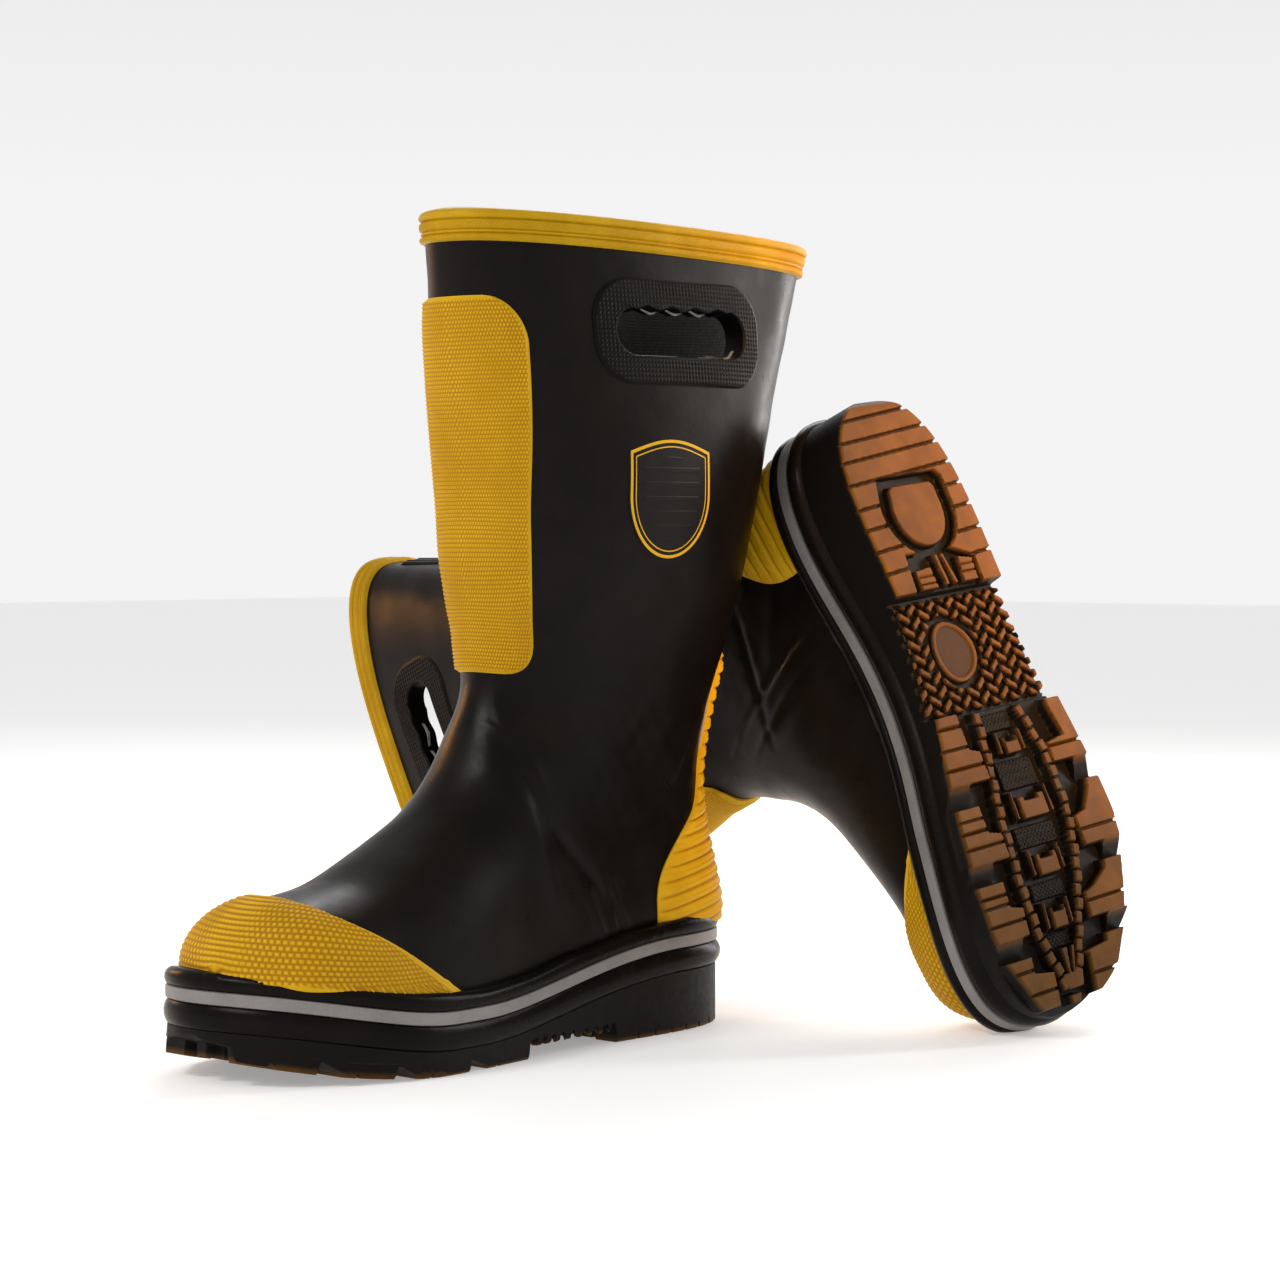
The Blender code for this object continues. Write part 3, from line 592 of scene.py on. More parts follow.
# painted shade: the darker yellow for the hollows between ribs and dots
YELLOW_HOLLOW_SHADE = (0.36, 0.17, 0.003)
KIT = {
    "rubber": rubber("satin_black_rubber", BLACK, BROWN_BLACK, (0.26, 0.42)),
    "gloss": rubber("glossy_black_rubber", BLACK, BROWN_BLACK, (0.18, 0.32), grain=1700.0, spec=0.06),
    # the waffle's hollows get a near-black painted shade, its dots stay lighter
    "waffle": rubber("matt_waffle_rubber", (0.0070, 0.0052, 0.0045), (0.013, 0.0098, 0.0080),
                     (0.40, 0.52), hollow_shade=(0.0025, 0.0020, 0.0017)),
    # painted shade in the hollows of the yellow guards' relief
    "yellow": rubber("yellow_rubber", YELLOW, YELLOW_LIGHT, (0.40, 0.55), hollow_shade=YELLOW_HOLLOW_SHADE),
    # the rim band's yellow is darkened as painted shade against the key light that falls on its top
    "edge": rubber("yellow_edging_rubber", (0.43, 0.235, 0.004), (0.53, 0.310, 0.009), (0.36, 0.50)),
    # tread faces: an orange-brown that is partly dust and partly painted warm light
    "tread": worn_tread_with_painted_light("tread_rubber", (0.0040, 0.0028, 0.0022), (0.074, 0.030, 0.0035),
                         (0.125, 0.053, 0.0070), (0.40, 0.60)),
    "lining": fabric("knit_lining", (0.010, 0.010, 0.011), (0.045, 0.042, 0.040), 0.0016),
    "insole": fabric("insole_cloth", (0.05, 0.05, 0.055), (0.10, 0.10, 0.11), 0.0022),
    "tape": tape("reflective_tape"),
    "steel": metal("plain_steel", (0.62, 0.62, 0.63), (0.28, 0.42)),
    "board": board("fibre_board", (0.24, 0.16, 0.09), (0.45, 0.33, 0.20)),
    "felt": fabric("wool_felt", (0.18, 0.17, 0.16), (0.34, 0.32, 0.30), 0.0030),
    "foam": board("moulded_foam", (0.030, 0.030, 0.032), (0.06, 0.06, 0.065)),
}

# ---------------------------------------------------------------- the upper

SLOT_CENTRE = (65.0, 347.5)
SLOT_SIZE = (90.0, 23.0)
SLOT_TILT = math.radians(-0.5)
PATCH_SIZE = (117.0, 52.0)
PATCH_RADIUS = 22.0
FINGERS = 4

# Creases of the outer (1) and inner (-1) side: points in side view, width and height.
CREASES = (
    (1, ((151, 172), (152, 160), (153, 148)), 1.5, 0.9),
    (1, ((157, 158), (155, 151), (153.5, 146)), 1.3, 0.8),
    (1, ((147, 161), (143, 157)), 1.6, 0.5),
    (1, ((150, 160), (150.5, 150), (148, 131), (143, 112)), 4.5, 0.9),
    (1, ((160, 150), (162, 134), (160, 125), (155, 105), (146, 80), (136, 58)), 5.0, 1.3),
    (1, ((153, 152), (152, 135), (147, 111), (134, 96), (115, 79), (104, 62)), 3.2, -1.3),
    (1, ((113, 88), (105, 70), (95, 44)), 1.3, 1.0),
    (1, ((106, 88), (99, 68), (85, 44)), 1.3, 1.0),
    (1, ((110, 82), (102, 66), (90, 44)), 2.2, -0.8),
    (1, ((122, 78), (113, 59), (102, 42)), 1.6, 1.1),
    (1, ((114, 64), (108, 50), (103, 42)), 1.4, 0.8),
    (1, ((30, 170), (44, 150), (58, 128), (75, 113), (104, 101)), 1.8, 0.55),
    (1, ((38, 150), (56, 122), (84, 100)), 9.0, -0.9),
    (-1, ((56, 110), (80, 109), (116, 113), (146, 116)), 1.9, -1.3),
    (-1, ((96, 62), (101, 79), (118, 114), (130, 140)), 2.0, -1.3),
    (-1, ((99, 60), (106, 82), (121, 110)), 1.8, 0.9),
    (-1, ((127, 134), (136, 153), (139, 168), (143, 186)), 1.5, 0.6),
    (-1, ((110, 60), (121, 89), (132, 110), (147, 145)), 2.0, 0.9),
    (-1, ((118, 66), (130, 92), (142, 118)), 5.0, -0.8),
    (-1, ((74, 78), (92, 92), (112, 96)), 5.0, 0.7),
)


def line_distance(x, z, path):
    """Distance to a polyline in side view, and the share of its length of the nearest point."""
    best = np.full(x.shape, 1e9)
    share = np.zeros(x.shape)
    path = np.array(path, float)
    lengths = np.linalg.norm(np.diff(path, axis=0), axis=1)
    walked = 0.0
    for (p, q), length in zip(zip(path[:-1], path[1:]), lengths):
        way = (q - p) / length
        t = np.clip((x - p[0]) * way[0] + (z - p[1]) * way[1], 0, length)
        distance = np.hypot(x - p[0] - way[0] * t, z - p[1] - way[1] * t)
        share = np.where(distance < best, (walked + t) / lengths.sum(), share)
        best = np.minimum(best, distance)
        walked += length
    return best, share


def crease_relief(points):
    """How far creases and slow waves of the soft rubber push its surface out."""
    x, y, z = np.moveaxis(points, -1, 0)
    total = np.zeros(x.shape)
    for side, path, width, height in CREASES:
        distance, share = line_distance(x, z, path)
        fade = np.clip(np.sin(np.clip(share, 0, 1) * math.pi), 0, 1) ** 0.6
        facing = smooth_step(side * y, 4, 18)
        total += height * np.exp(-(distance / width) ** 2) * fade * facing
    soft = smooth_step(z, 60, 110) * (1 - smooth_step(z, 372, 392))
    ankle = smooth_step(z, 60, 100) * (1 - smooth_step(z, 150, 190)) * smooth_step(-x, -150, -100)
    total += 0.45 * waves(points, 3, 90.0) * soft + 0.10 * waves(points, 8, 26.0) * soft
    total += 0.10 * waves(points, 12, 11.0) * ankle
    return total


def slot_outline(grow=0.0):
    """The grip slot: round ends and finger hollows along the top, counted round."""
    half = SLOT_SIZE[0] / 2 + grow
    radius = SLOT_SIZE[1] / 2 + grow
    points = []
    for centre, start in ((radius - half, 0.5), (half - radius, -0.5)):
        for i in range(15):
            angle = math.pi * (start + i / 14)
            points.append((centre + radius * math.cos(angle), radius * math.sin(angle)))
    reach = 2 * (half - radius)
    count = 8 * FINGERS
    for i in range(1, count):
        t = i / count
        dip = 0.9 - 1.9 * math.sin(math.pi * FINGERS * t) ** 2
        points.append((half - radius - reach * t, radius - dip))
    return np.array([(SLOT_CENTRE[0] + a, SLOT_CENTRE[1] + b + a * math.tan(SLOT_TILT))
                     for a, b in points])


def inside_outline(x, z, outline):
    """Which points lie inside a closed outline."""
    inside = np.zeros(x.shape, bool)
    for (ax, az), (bx, bz) in zip(outline, np.roll(outline, -1, axis=0)):
        crosses = (az > z) != (bz > z)
        with np.errstate(divide="ignore", invalid="ignore"):
            at = ax + (z - az) * (bx - ax) / (bz - az)
        inside ^= crosses & (x < at)
    return inside


def make_shell(side):
    """The one-piece rubber upper, with its creases and the hole for the grip."""
    coarse = 3
    u = np.interp(np.linspace(0, 1, 331), (0, 0.10, 0.52, 0.7, 1), (0.02, 3, 10, 12.4, 15.97))
    v = np.arange(270) * TURN / 270
    base = bare_skin(u[:, None], v)
    outer = skin(u[:, None], v, crease_relief(base))
    inner = skin(u[:, None], v, -SHELL_THICK)
    middle = bare_skin((u[:-1:coarse, None] + u[coarse::coarse, None]) / 2,
                       v[::coarse] + v[coarse] / 2)
    keep = ~inside_outline(middle[..., 0], middle[..., 2], slot_outline(5.5))
    piece = make_sheet(side, "rubber_upper", outer, inner, KIT["rubber"], keep, True, coarse=coarse)
    return piece, "upper_shell", "black_rubber"


def make_lining(side):
    u = np.interp(np.linspace(0, 1, 130), (0, 0.2, 0.7, 1), (0.8, 4, 12, 15.93))
    v = np.arange(120) * TURN / 120
    faces = []
    for depth, floor in ((LINING_DEPTH, LINING_FLOOR), (LINING_DEPTH + 1.2, LINING_FLOOR + 1.2)):
        net = skin(u[:, None], v, -depth)
        net[..., 2] = np.maximum(net[..., 2], footbed_level(net[..., 0]) + floor)
        faces.append(net)
    base = bare_skin(u[:, None], v)
    keep = ~inside_outline(base[..., 0], base[..., 2], slot_outline(3.0))
    piece = make_sheet(side, "knit_lining", faces[1], faces[0], KIT["lining"], keep[:-1], wrap=True)
    return piece, "lining", "knit_lining"


def edge_slope(distance, thick, width=2.2):
    """Height of a moulded patch that thins to its edge."""
    return thick * (0.22 + 0.78 * smooth_step(distance, 0, width))


GUARD_EDGE = ((176, 133), (202, 140), (240, 147), (275, 150), (341, 154), (370, 156))


def make_shin_guard(side):
    """The padded yellow shin guard with its fine waffle."""
    low, high, radius, half = 181.0, 363.0, 24.0, 47.0
    z = np.linspace(low, high, 361)
    heights, places = np.array(GUARD_EDGE, float).T
    edge_x = natural_spline(heights, places[:, None], z)[:, 0]
    reach = [np.abs(from_side(edge_x, z, sign)[1]) for sign in (1, -1)]
    end = np.minimum(z - low, high - z)
    drop = radius - np.sqrt(np.maximum(radius ** 2 - (radius - np.minimum(end, radius)) ** 2, 0))
    share = np.linspace(-1, 1, 193)
    pitch_z, pitch_x = 4 * (high - low) / 360, 4 * 2 * half / 192  # four cells of the net
    narrow = 1 - drop / half
    v = np.where(share >= 0, reach[0][:, None], reach[1][:, None]) * narrow[:, None] * share
    u = at_height(z[:, None], v)
    arc = half * narrow[:, None] * share
    to_edge = np.minimum(half * narrow[:, None] * (1 - np.abs(share)), end[:, None])
    row = np.round((z[:, None] - low) / pitch_z)
    dots = np.minimum(pulse(arc + 0.5 * pitch_x * (row % 2), pitch_x, 1.1),
                      pulse(z[:, None] - low, pitch_z, 1.1))
    dots = dots * smooth_step(to_edge, 0.8, 2)
    swell = 1.0 * smooth_step(to_edge, 1, 16)
    height = 0.3 + edge_slope(to_edge, GUARD_THICK) + 0.55 * dots + swell
    top = skin(u, v, height)
    # painted shade: the hollows between the dots take the darker yellow
    unshaded_share = dots * smooth_step(to_edge, 0.2, 1.0) + 0.8 * (1 - smooth_step(to_edge, 1.4, 2.2))
    piece = make_sheet(side, "shin_guard_pad", top, skin(u, v, UNDER), KIT["yellow"], values=unshaded_share,
                       coarse=6)
    return piece, "shin_guard", "yellow_rubber"


TOE_EDGE = ((223.0, 40.0), (289.0, 81.0))
TOE_MIDDLE = 246.0  # the place on the foot that the ribs run round
TOE_ROUND = 50.0  # turns angles round that place into lengths
TOE_PUFF = 3.4
TIP_ROWS = 12
DOT_PITCH = 2.3
RIB_PITCH = 2.15


def make_toe_cover(side):
    """The yellow toe cover: ribs round the front that break into dots at the sides."""
    (ax, az), (bx, bz) = TOE_EDGE
    v_grid = np.linspace(-2.2, 2.2, 241)

    def behind(u):
        p = bare_skin(u, v_grid)
        return (bx - ax) * (p[..., 2] - az) - (bz - az) * (p[..., 0] - ax) > 0

    def below_bead(v):
        p = bare_skin(u_grid, v)
        return p[:, 2] < bead_top(p[:, 0]) - 4.5

    end_row = bisect(behind, np.zeros(v_grid.shape), np.full(v_grid.shape, 6.0))[2]
    u_grid = np.linspace(0, 6, 121)
    widest = bisect(below_bead, np.full(u_grid.shape, 0.05), np.full(u_grid.shape, 3.0))[2]
    p, q = np.linspace(0.004, 1, 229)[:, None], np.linspace(-1, 1, 349)[None, :]
    u, v = 4 * p + 0 * q, 1.8 * q + 0 * p
    for _ in range(14):
        v = 0.5 * v + 0.5 * q * np.interp(u, u_grid, widest)
        u = 0.5 * u + 0.5 * p * np.interp(v, v_grid, end_row)
    base = bare_skin(u, v)
    x, y, z = np.moveaxis(base, -1, 0)
    around = np.arctan2(np.abs(y), np.maximum(x - TOE_MIDDLE, 0)) * TOE_ROUND
    around += np.maximum(TOE_MIDDLE - x, 0)
    rise = np.arctan2(z - 38.0, np.hypot(x - TOE_MIDDLE, y) * 0.8) * TOE_ROUND
    rib = pulse(rise, RIB_PITCH, 1.2)
    row = np.floor(rise / RIB_PITCH + 0.5)
    dot = np.minimum(rib, pulse(around + DOT_PITCH / 2 * row, DOT_PITCH, 1.2))
    sides = 0.35 + 0.65 * smooth_step(around, 4.0, 16.0)
    edge = np.minimum(1 - np.abs(q), 1 - p) * 60
    relief = (rib * (1 - sides) + dot * sides) * smooth_step(edge, 0.8, 2.4)
    room = reach_room(base)
    puff = TOE_PUFF * smooth_step(room, 1.0, 9.0) * (1 - smooth_step(z, 52, 78))
    top = close_tip(skin(u, v, 0.3 + edge_slope(edge, GUARD_THICK) + 0.5 * relief + puff))
    low = close_tip(skin(u, v, UNDER))
    # painted shade: the hollows between the ribs and dots take the darker yellow
    unshaded_share = relief + 0.8 * (1 - smooth_step(edge, 1.4, 2.4))
    unshaded_share = np.concatenate([np.repeat(unshaded_share[:1], TIP_ROWS, axis=0), unshaded_share])
    piece = make_sheet(side, "toe_cover_cap", top, low, KIT["yellow"], values=unshaded_share, coarse=6)
    return piece, "toe_cover", "yellow_rubber"


def close_tip(net):
    """Adds rows that draw the first one in to the middle of the toe."""
    share = np.linspace(0.02, 1, TIP_ROWS, endpoint=False)[:, None, None]
    middle = net[0].mean(axis=0) + (0.5, 0, 0)
    dome = middle * (1 - share ** 1.5) + net[0] * share ** 1.5
    flat = middle * (1 - share) + net[0] * share
    return np.concatenate([np.concatenate([dome[..., :1], flat[..., 1:]], axis=-1), net])


def reach_room(points):
    """How far the sole's outline stands out past points of the upper, near the toe."""
    ring, normal = sole_outline(240)
    flat = points[..., :2].reshape(-1, 2)
    room = np.full(len(flat), 1e9)
    for start in range(0, len(flat), 4000):
        part = flat[start:start + 4000]
        gap = np.linalg.norm(part[:, None] - ring[None], axis=2)
        room[start:start + 4000] = gap.min(axis=1)
    return room.reshape(points.shape[:-1])


HEEL_EDGE = ((50, 66), (80, 66), (93, 57), (110, 43), (129, 34), (154, 25), (172, 18), (186, 12),
             (193, 4))
HEEL_LOW, HEEL_HIGH = 52.5, 191
HEEL_HALF = 65.0  # about half the guard's length round the heel
HEEL_RIB = 6.7
HEEL_FINE_RIB = 1.55


def make_heel_guard(side):
    """The ribbed yellow guard round the heel, drawn out to a tongue up the back."""
    heights, fronts = np.array(HEEL_EDGE, float).T
    z = np.linspace(HEEL_LOW, HEEL_HIGH, 301)[:, None]
    front = natural_spline(heights, fronts[:, None], z[:, 0])[:, 0]
    t = np.linspace(0, 1, 157)
    start, end = (np.abs(from_side(front, z[:, 0], sign)[1]) for sign in (1, -1))
    end = TURN - end
    v = start[:, None] + (end - start)[:, None] * t
    foot = z + np.zeros(v.shape)
    first = bare_skin(at_height(foot, v, 6.0, 14.5), v)
    up = np.linspace(0, 1, len(z))[:, None]
    drop = (HEEL_LOW - bead_top(first[..., 0]) + 3.5) * (1 - up) ** 3
    u = at_height(foot - drop, v, 6.0, 14.5)
    base = bare_skin(u, v)
    edge = np.minimum(t, 1 - t)[None, :] * 2 * HEEL_HALF
    edge = np.minimum(np.minimum(edge, z - HEEL_LOW + 1), HEEL_HIGH - z)
    line = base[..., 2] + 0.20 * base[..., 0] + 0.45 * waves(base, 5, 60.0)
    tilt = (line / HEEL_RIB + 0.5) % 1
    band = 1 - np.exp(-(np.abs(tilt - 0.5) * HEEL_RIB) ** 2)
    fine_rib = pulse(line, HEEL_FINE_RIB)
    lively = smooth_step(edge, 0.1, 1.1)
    ribs = 1.25 * band + 0.45 * tilt + 0.10 * fine_rib
    height = 0.3 + edge_slope(edge, GUARD_THICK - 0.6) + ribs * lively
    top = skin(u, v, height)
    # painted shade: the grooves between the ribs take the darker yellow
    unshaded_share = np.clip(band + 0.2 * fine_rib, 0, 1) * lively + 0.8 * (1 - lively)
    piece = make_sheet(side, "heel_guard_ribs", top, skin(u, v, UNDER), KIT["yellow"], values=unshaded_share,
                       coarse=6)
    return piece, "heel_guard", "yellow_rubber"


def resample(outline, count):
    closed = np.vstack([outline, outline[:1]])
    length = walk(closed)
    at = np.arange(count) * length[-1] / count
    return np.column_stack([np.interp(at, length, closed[:, k]) for k in (0, 1)])


def patch_ring(count):
    """The facing's outline and the slot's, with matching points round both."""
    angles = np.arange(count) * TURN / count
    inner = resample(slot_outline(), 4 * count)
    outer = []
    for centre_x, centre_z, start in ((1, 1, 0), (-1, 1, 1), (-1, -1, 2), (1, -1, 3)):
        for i in range(17):
            angle = math.pi / 2 * (start + i / 16)
            outer.append((SLOT_CENTRE[0] + centre_x * (PATCH_SIZE[0] / 2 - PATCH_RADIUS)
                          + PATCH_RADIUS * math.cos(angle),
                          SLOT_CENTRE[1] + centre_z * (PATCH_SIZE[1] / 2 - PATCH_RADIUS)
                          + PATCH_RADIUS * math.sin(angle)))
    outer = resample(np.array(outer), 4 * count)

    def turned(outline, squash):
        a = np.arctan2((outline[:, 1] - SLOT_CENTRE[1]) * squash, outline[:, 0] - SLOT_CENTRE[0])
        order = np.argsort(a % TURN)
        a = (a % TURN)[order]
        spots = outline[order]
        a = np.concatenate([a - TURN, a, a + TURN])
        spots = np.vstack([spots, spots, spots])
        return np.column_stack([np.interp(angles, a, spots[:, k]) for k in (0, 1)])

    return (turned(inner, SLOT_SIZE[0] / SLOT_SIZE[1] * 0.55),
            turned(outer, PATCH_SIZE[0] / PATCH_SIZE[1]))


GRIP_PITCH = (2.3, 2.25)
LIP_DEPTHS = 0.7 - np.arange(12, 0, -1) * 0.92  # the lip's rows through the wall


def make_grip(side, name, sign):
    """The waffle facing round the grip slot, with the rolled lip that lines the slot."""
    inner, outer = patch_ring(720)
    share = np.linspace(0, 1, 41)[:, None, None]
    plan = inner * (1 - share) + outer * share
    x, z = plan[..., 0], plan[..., 1]
    width = np.linalg.norm(outer - inner, axis=1)[None, :]
    edge = np.minimum(share[..., 0], 1 - share[..., 0]) * width
    u, v = from_side(x, z, sign)
    dots = np.minimum(pulse(x, GRIP_PITCH[0], 1.3), pulse(z, GRIP_PITCH[1], 1.3))
    dots = dots * smooth_step(edge, 1.2, 2.4)
    lip = 0.5 * np.exp(-((share[..., 0] * width - 0.9) / 0.8) ** 2)
    height = 0.2 + edge_slope(edge, 0.9, 2.0) + 0.5 * dots + lip
    hidden = skin(u, v, UNDER)
    hidden[:3] = hidden[3]
    top = np.concatenate([[skin(u[0], v[0], depth) for depth in LIP_DEPTHS], skin(u, v, height)])
    back = np.concatenate([[skin(u[3], v[3], depth) for depth in LIP_DEPTHS], hidden])
    # painted shade: the lip rows through the wall and the hollows between the dots take the near-black
    # hollow colour
    dots = np.concatenate([np.zeros((len(LIP_DEPTHS), dots.shape[1])), dots])
    piece = make_sheet(side, "grip_" + name, top, back, KIT["waffle"], wrap=True, values=dots,
                       coarse=4)
    return piece, "grip_facing_" + name, "waffle_rubber"


STAY_LOW, STAY_HIGH, STAY_HALF = 197, 371, 8.2


def make_back_stay(side):
    """The strip up the back of the leg, with two ridges along it."""
    z = np.linspace(STAY_LOW, STAY_HIGH, 160)
    u = np.interp(z, section(np.linspace(9, LAST, 400))[:, 3], np.linspace(9, LAST, 400))
    across = np.linspace(-STAY_HALF, STAY_HALF, 34)
    fine = np.linspace(math.pi - 0.9, math.pi + 0.9, 241)
    rows = skin(u[:, None], fine)
    step = np.linalg.norm(np.diff(rows, axis=1), axis=2)
    length = np.concatenate([np.zeros((len(u), 1)), np.cumsum(step, axis=1)], axis=1)
    length -= length[:, 120:121]
    angle = np.array([np.interp(across, row, fine) for row in length])
    end = np.minimum(z - STAY_LOW, STAY_HIGH - z)[:, None]
    edge = np.minimum(STAY_HALF - np.abs(across)[None, :], end)
    ridge = 0.8 * np.exp(-((np.abs(across) - 4.2) / 1.1) ** 2)[None, :]
    top = skin(u[:, None], angle, 0.2 + edge_slope(edge, 1.3, 1.2) + ridge * smooth_step(edge, 0, 2))
    piece = make_sheet(side, "back_stay_strip", top, skin(u[:, None], angle, UNDER), KIT["rubber"])
    return piece, "back_stay", "black_rubber"


BADGE_CENTRE = (80.0, 266.0)
BADGE_SIZE = (54.0, 59.0)
BAR_PITCH = 7.0


def shield_edge(angle):
    """How far a plain heater shield reaches from its middle in each direction."""
    t = np.linspace(0, 1, 60)
    top = np.column_stack([0.5 - t, 0.40 + 0.10 * np.sin(math.pi * t)])
    left = np.column_stack([-0.5 * np.cos(t * math.pi / 2), 0.05 - 0.55 * np.sin(t * math.pi / 2)])
    right = left[::-1] * (-1, 1)
    edge = np.column_stack([np.full(20, -0.5), np.linspace(0.40, 0.05, 20)])
    ring = np.vstack([top, edge[1:-1], left, right[1:], edge[:0:-1] * (-1, 1)]) * BADGE_SIZE
    turn = np.arctan2(ring[:, 1], ring[:, 0]) % TURN
    order = np.argsort(turn)
    return np.interp(angle % TURN, turn[order], np.hypot(ring[:, 0], ring[:, 1])[order], period=TURN)


def make_badge(side):
    """A plain shield without any mark: a yellow border, a thin inner line and fine bars."""
    radius = np.linspace(0.015, 1, 130)[:, None]
    angle = np.arange(400)[None, :] * TURN / 400
    reach = shield_edge(angle) * radius
    x = BADGE_CENTRE[0] + reach * np.cos(angle)
    z = BADGE_CENTRE[1] + reach * np.sin(angle)
    u, v = from_side(x, z, 1)
    edge = (1 - radius) * BADGE_SIZE[0] / 2 + 0 * angle
    border = smooth_step(edge, 0.4, 0.7) * (1 - smooth_step(edge, 1.7, 2.1))
    thin = smooth_step(edge, 3.3, 3.5) * (1 - smooth_step(edge, 3.9, 4.1))
    bars = smooth_step(np.cos(TURN * (z - BADGE_CENTRE[1]) / BAR_PITCH), 0.3, 0.6)
    bars = smooth_step(edge, 8.0, 8.4) * bars
    mark = np.maximum(border, 0.75 * thin)
    height = 0.2 + edge_slope(edge, 0.6, 0.6) + 0.3 * mark + 0.15 * bars
    piece = make_disc(side, "plain_badge", skin(u, v, height), skin(u, v, UNDER), badge_rubber(),
                      mark)
    return piece, "side_badge", "badge_rubber"


BAND_HEIGHT = 14.4


def make_binding(side):
    """The yellow band over the rim: a rolled top, three grooves and two hatched beads."""
    count = 860
    v = np.arange(count) * TURN / count

    def loop(drop, offset):
        return skin(np.full(count, RIM - drop / RIM_STEP), v, offset)

    drops = np.linspace(0, BAND_HEIGHT, 58)
    outer = 1.7 + 0.9 * np.exp(-((drops - 1.6) / 1.4) ** 2)
    for groove, depth in ((3.6, 1.0), (8.6, 0.8), (10.6, 0.8)):
        outer -= depth * np.exp(-((drops - groove) / 0.45) ** 2)
    outer += 0.5 * np.exp(-((drops - 6.0) / 2.0) ** 2) + 0.3 * np.exp(-((drops - 9.6) / 0.6) ** 2)
    outer += 0.6 * np.exp(-((drops - 12.2) / 1.2) ** 2)
    outer -= 1.2 * smooth_step(drops, BAND_HEIGHT - 1.0, BAND_HEIGHT)
    arc = walk(loop(0, 0.0))
    pitch = arc[-1] / round(arc[-1] / 1.7)
    face = []
    for drop, offset in zip(drops, outer):
        beads = (drop > 4.4) * (drop < 7.6) + (drop > 11) * (drop < 13.2)
        face.append(loop(drop, offset + 0.42 * pulse(arc + 1.2 * drop, pitch) * beads))
    inner_depth = LINING_DEPTH + 2.2
    roof = []
    for k in range(1, 12):
        t = k / 12
        offset = outer[0] * (1 - t) - inner_depth * t
        roof.append(loop(0, offset) + (0, 0, 1.7 * math.sin(math.pi * t) ** 0.5))
    inside = [loop(drop, -inner_depth - 0.5 * math.sin(math.pi * min(drop / 4, 1)))
              for drop in np.linspace(0, 11, 14)]
    hidden = [loop(11, -LINING_DEPTH - 0.3), loop(1.0, -LINING_DEPTH + 0.3), loop(1.0, -0.8),
              loop(BAND_HEIGHT, UNDER)]
    loops = np.array(face[::-1] + roof + inside + hidden)
    # the rim band's material is a darker copy of the yellow rubber: painted shade
    piece = make_ring(side, "rim_band", loops, KIT["edge"])
    return piece, "top_binding", "yellow_rubber"


# ---------------------------------------------------------------- the foot

RING_COUNT = 620


def reach_skin(points, normal, level):
    """How far in from the sole's outline the upper's surface lies at a level."""
    def inside(depth):
        spot = points - normal * depth[:, None]
        return np.abs(spot[:, 1]) < half_width(spot[:, 0], level, np.sign(spot[:, 1]))

    return bisect(inside, np.zeros(len(points)), np.full(len(points), 34.0), 16)[2]


def foxing_folds(points):
    """Small folds of the strips at the outer side of the waist."""
    x, y = points[:, 0], points[:, 1]
    folds = 0.9 * np.exp(-((x - 72) / 2.2) ** 2) + 0.8 * np.exp(-((x - 80) / 1.8) ** 2)
    folds += 0.6 * np.exp(-((x - 90) / 2.6) ** 2)
    return folds * smooth_step(y, 10, 30)


def make_upper_foxing(side):
    points, normal = sole_outline(RING_COUNT)
    x = points[:, 0]
    profile = ((0.0, 0.2), (0.06, 0.9), (0.2, 1.5), (0.4, 1.8), (0.6, 1.6), (0.8, 0.8), (0.92, -0.4),
               (1.0, -1.6))
    wave = 0.35 * np.sin(x / 17.0) + 0.25 * np.sin(x / 7.3 + 1)
    top_reach = reach_skin(points, normal, bead_top(x))
    loops = []
    for share, offset in profile:
        level = stripe_high(x) * (1 - share) + (bead_top(x) + wave * share) * share
        out = np.minimum(offset + 0.25 * foxing_folds(points), 2.3)
        limit = -reach_skin(points, normal, level) + 0.9
        loops.append((points + normal * np.maximum(out, limit)[:, None], level))
    for inset, rise in ((0.4, -0.1), (-1.2, -0.6)):
        loops.append((points - normal * (np.maximum(top_reach - inset, 2.5))[:, None],
                      bead_top(x) + wave + rise))
    bottom_reach = reach_skin(points, normal, stripe_high(x))
    loops.append((points - normal * np.maximum(bottom_reach + 1.0, 3.0)[:, None], stripe_high(x)))
    net = np.array([np.column_stack([p, l]) for p, l in loops])
    piece = make_ring(side, "upper_foxing_bead", net, KIT["gloss"])
    return piece, "upper_foxing", "black_rubber"


def strip_loops(points, normal, low, high, profile, swell):
    """Loops of a strip round the sole, from shares of its height and how far they stand out."""
    net = []
    for share, offset in (*profile, (1, -6.0), (0, -6.0)):
        out = offset + swell(share) * (offset > 0)
        level = low * (1 - share) + high * share
        net.append(np.column_stack([points + normal * out[:, None], level]))
    return np.array(net)


def make_stripe(side):
    points, normal = sole_outline(RING_COUNT)
    x = points[:, 0]
    profile = (0, 0.5), (0.06, 1.15), (0.3, 1.3), (0.7, 1.3), (0.94, 1.15), (1, 0.5)
    net = strip_loops(points, normal, stripe_low(x) + 0.1, stripe_high(x) - 0.1, profile,
                      lambda share: 0.15 * foxing_folds(points))
    piece = make_ring(side, "reflective_band", net, KIT["tape"])
    return piece, "reflective_stripe", "reflective_tape"


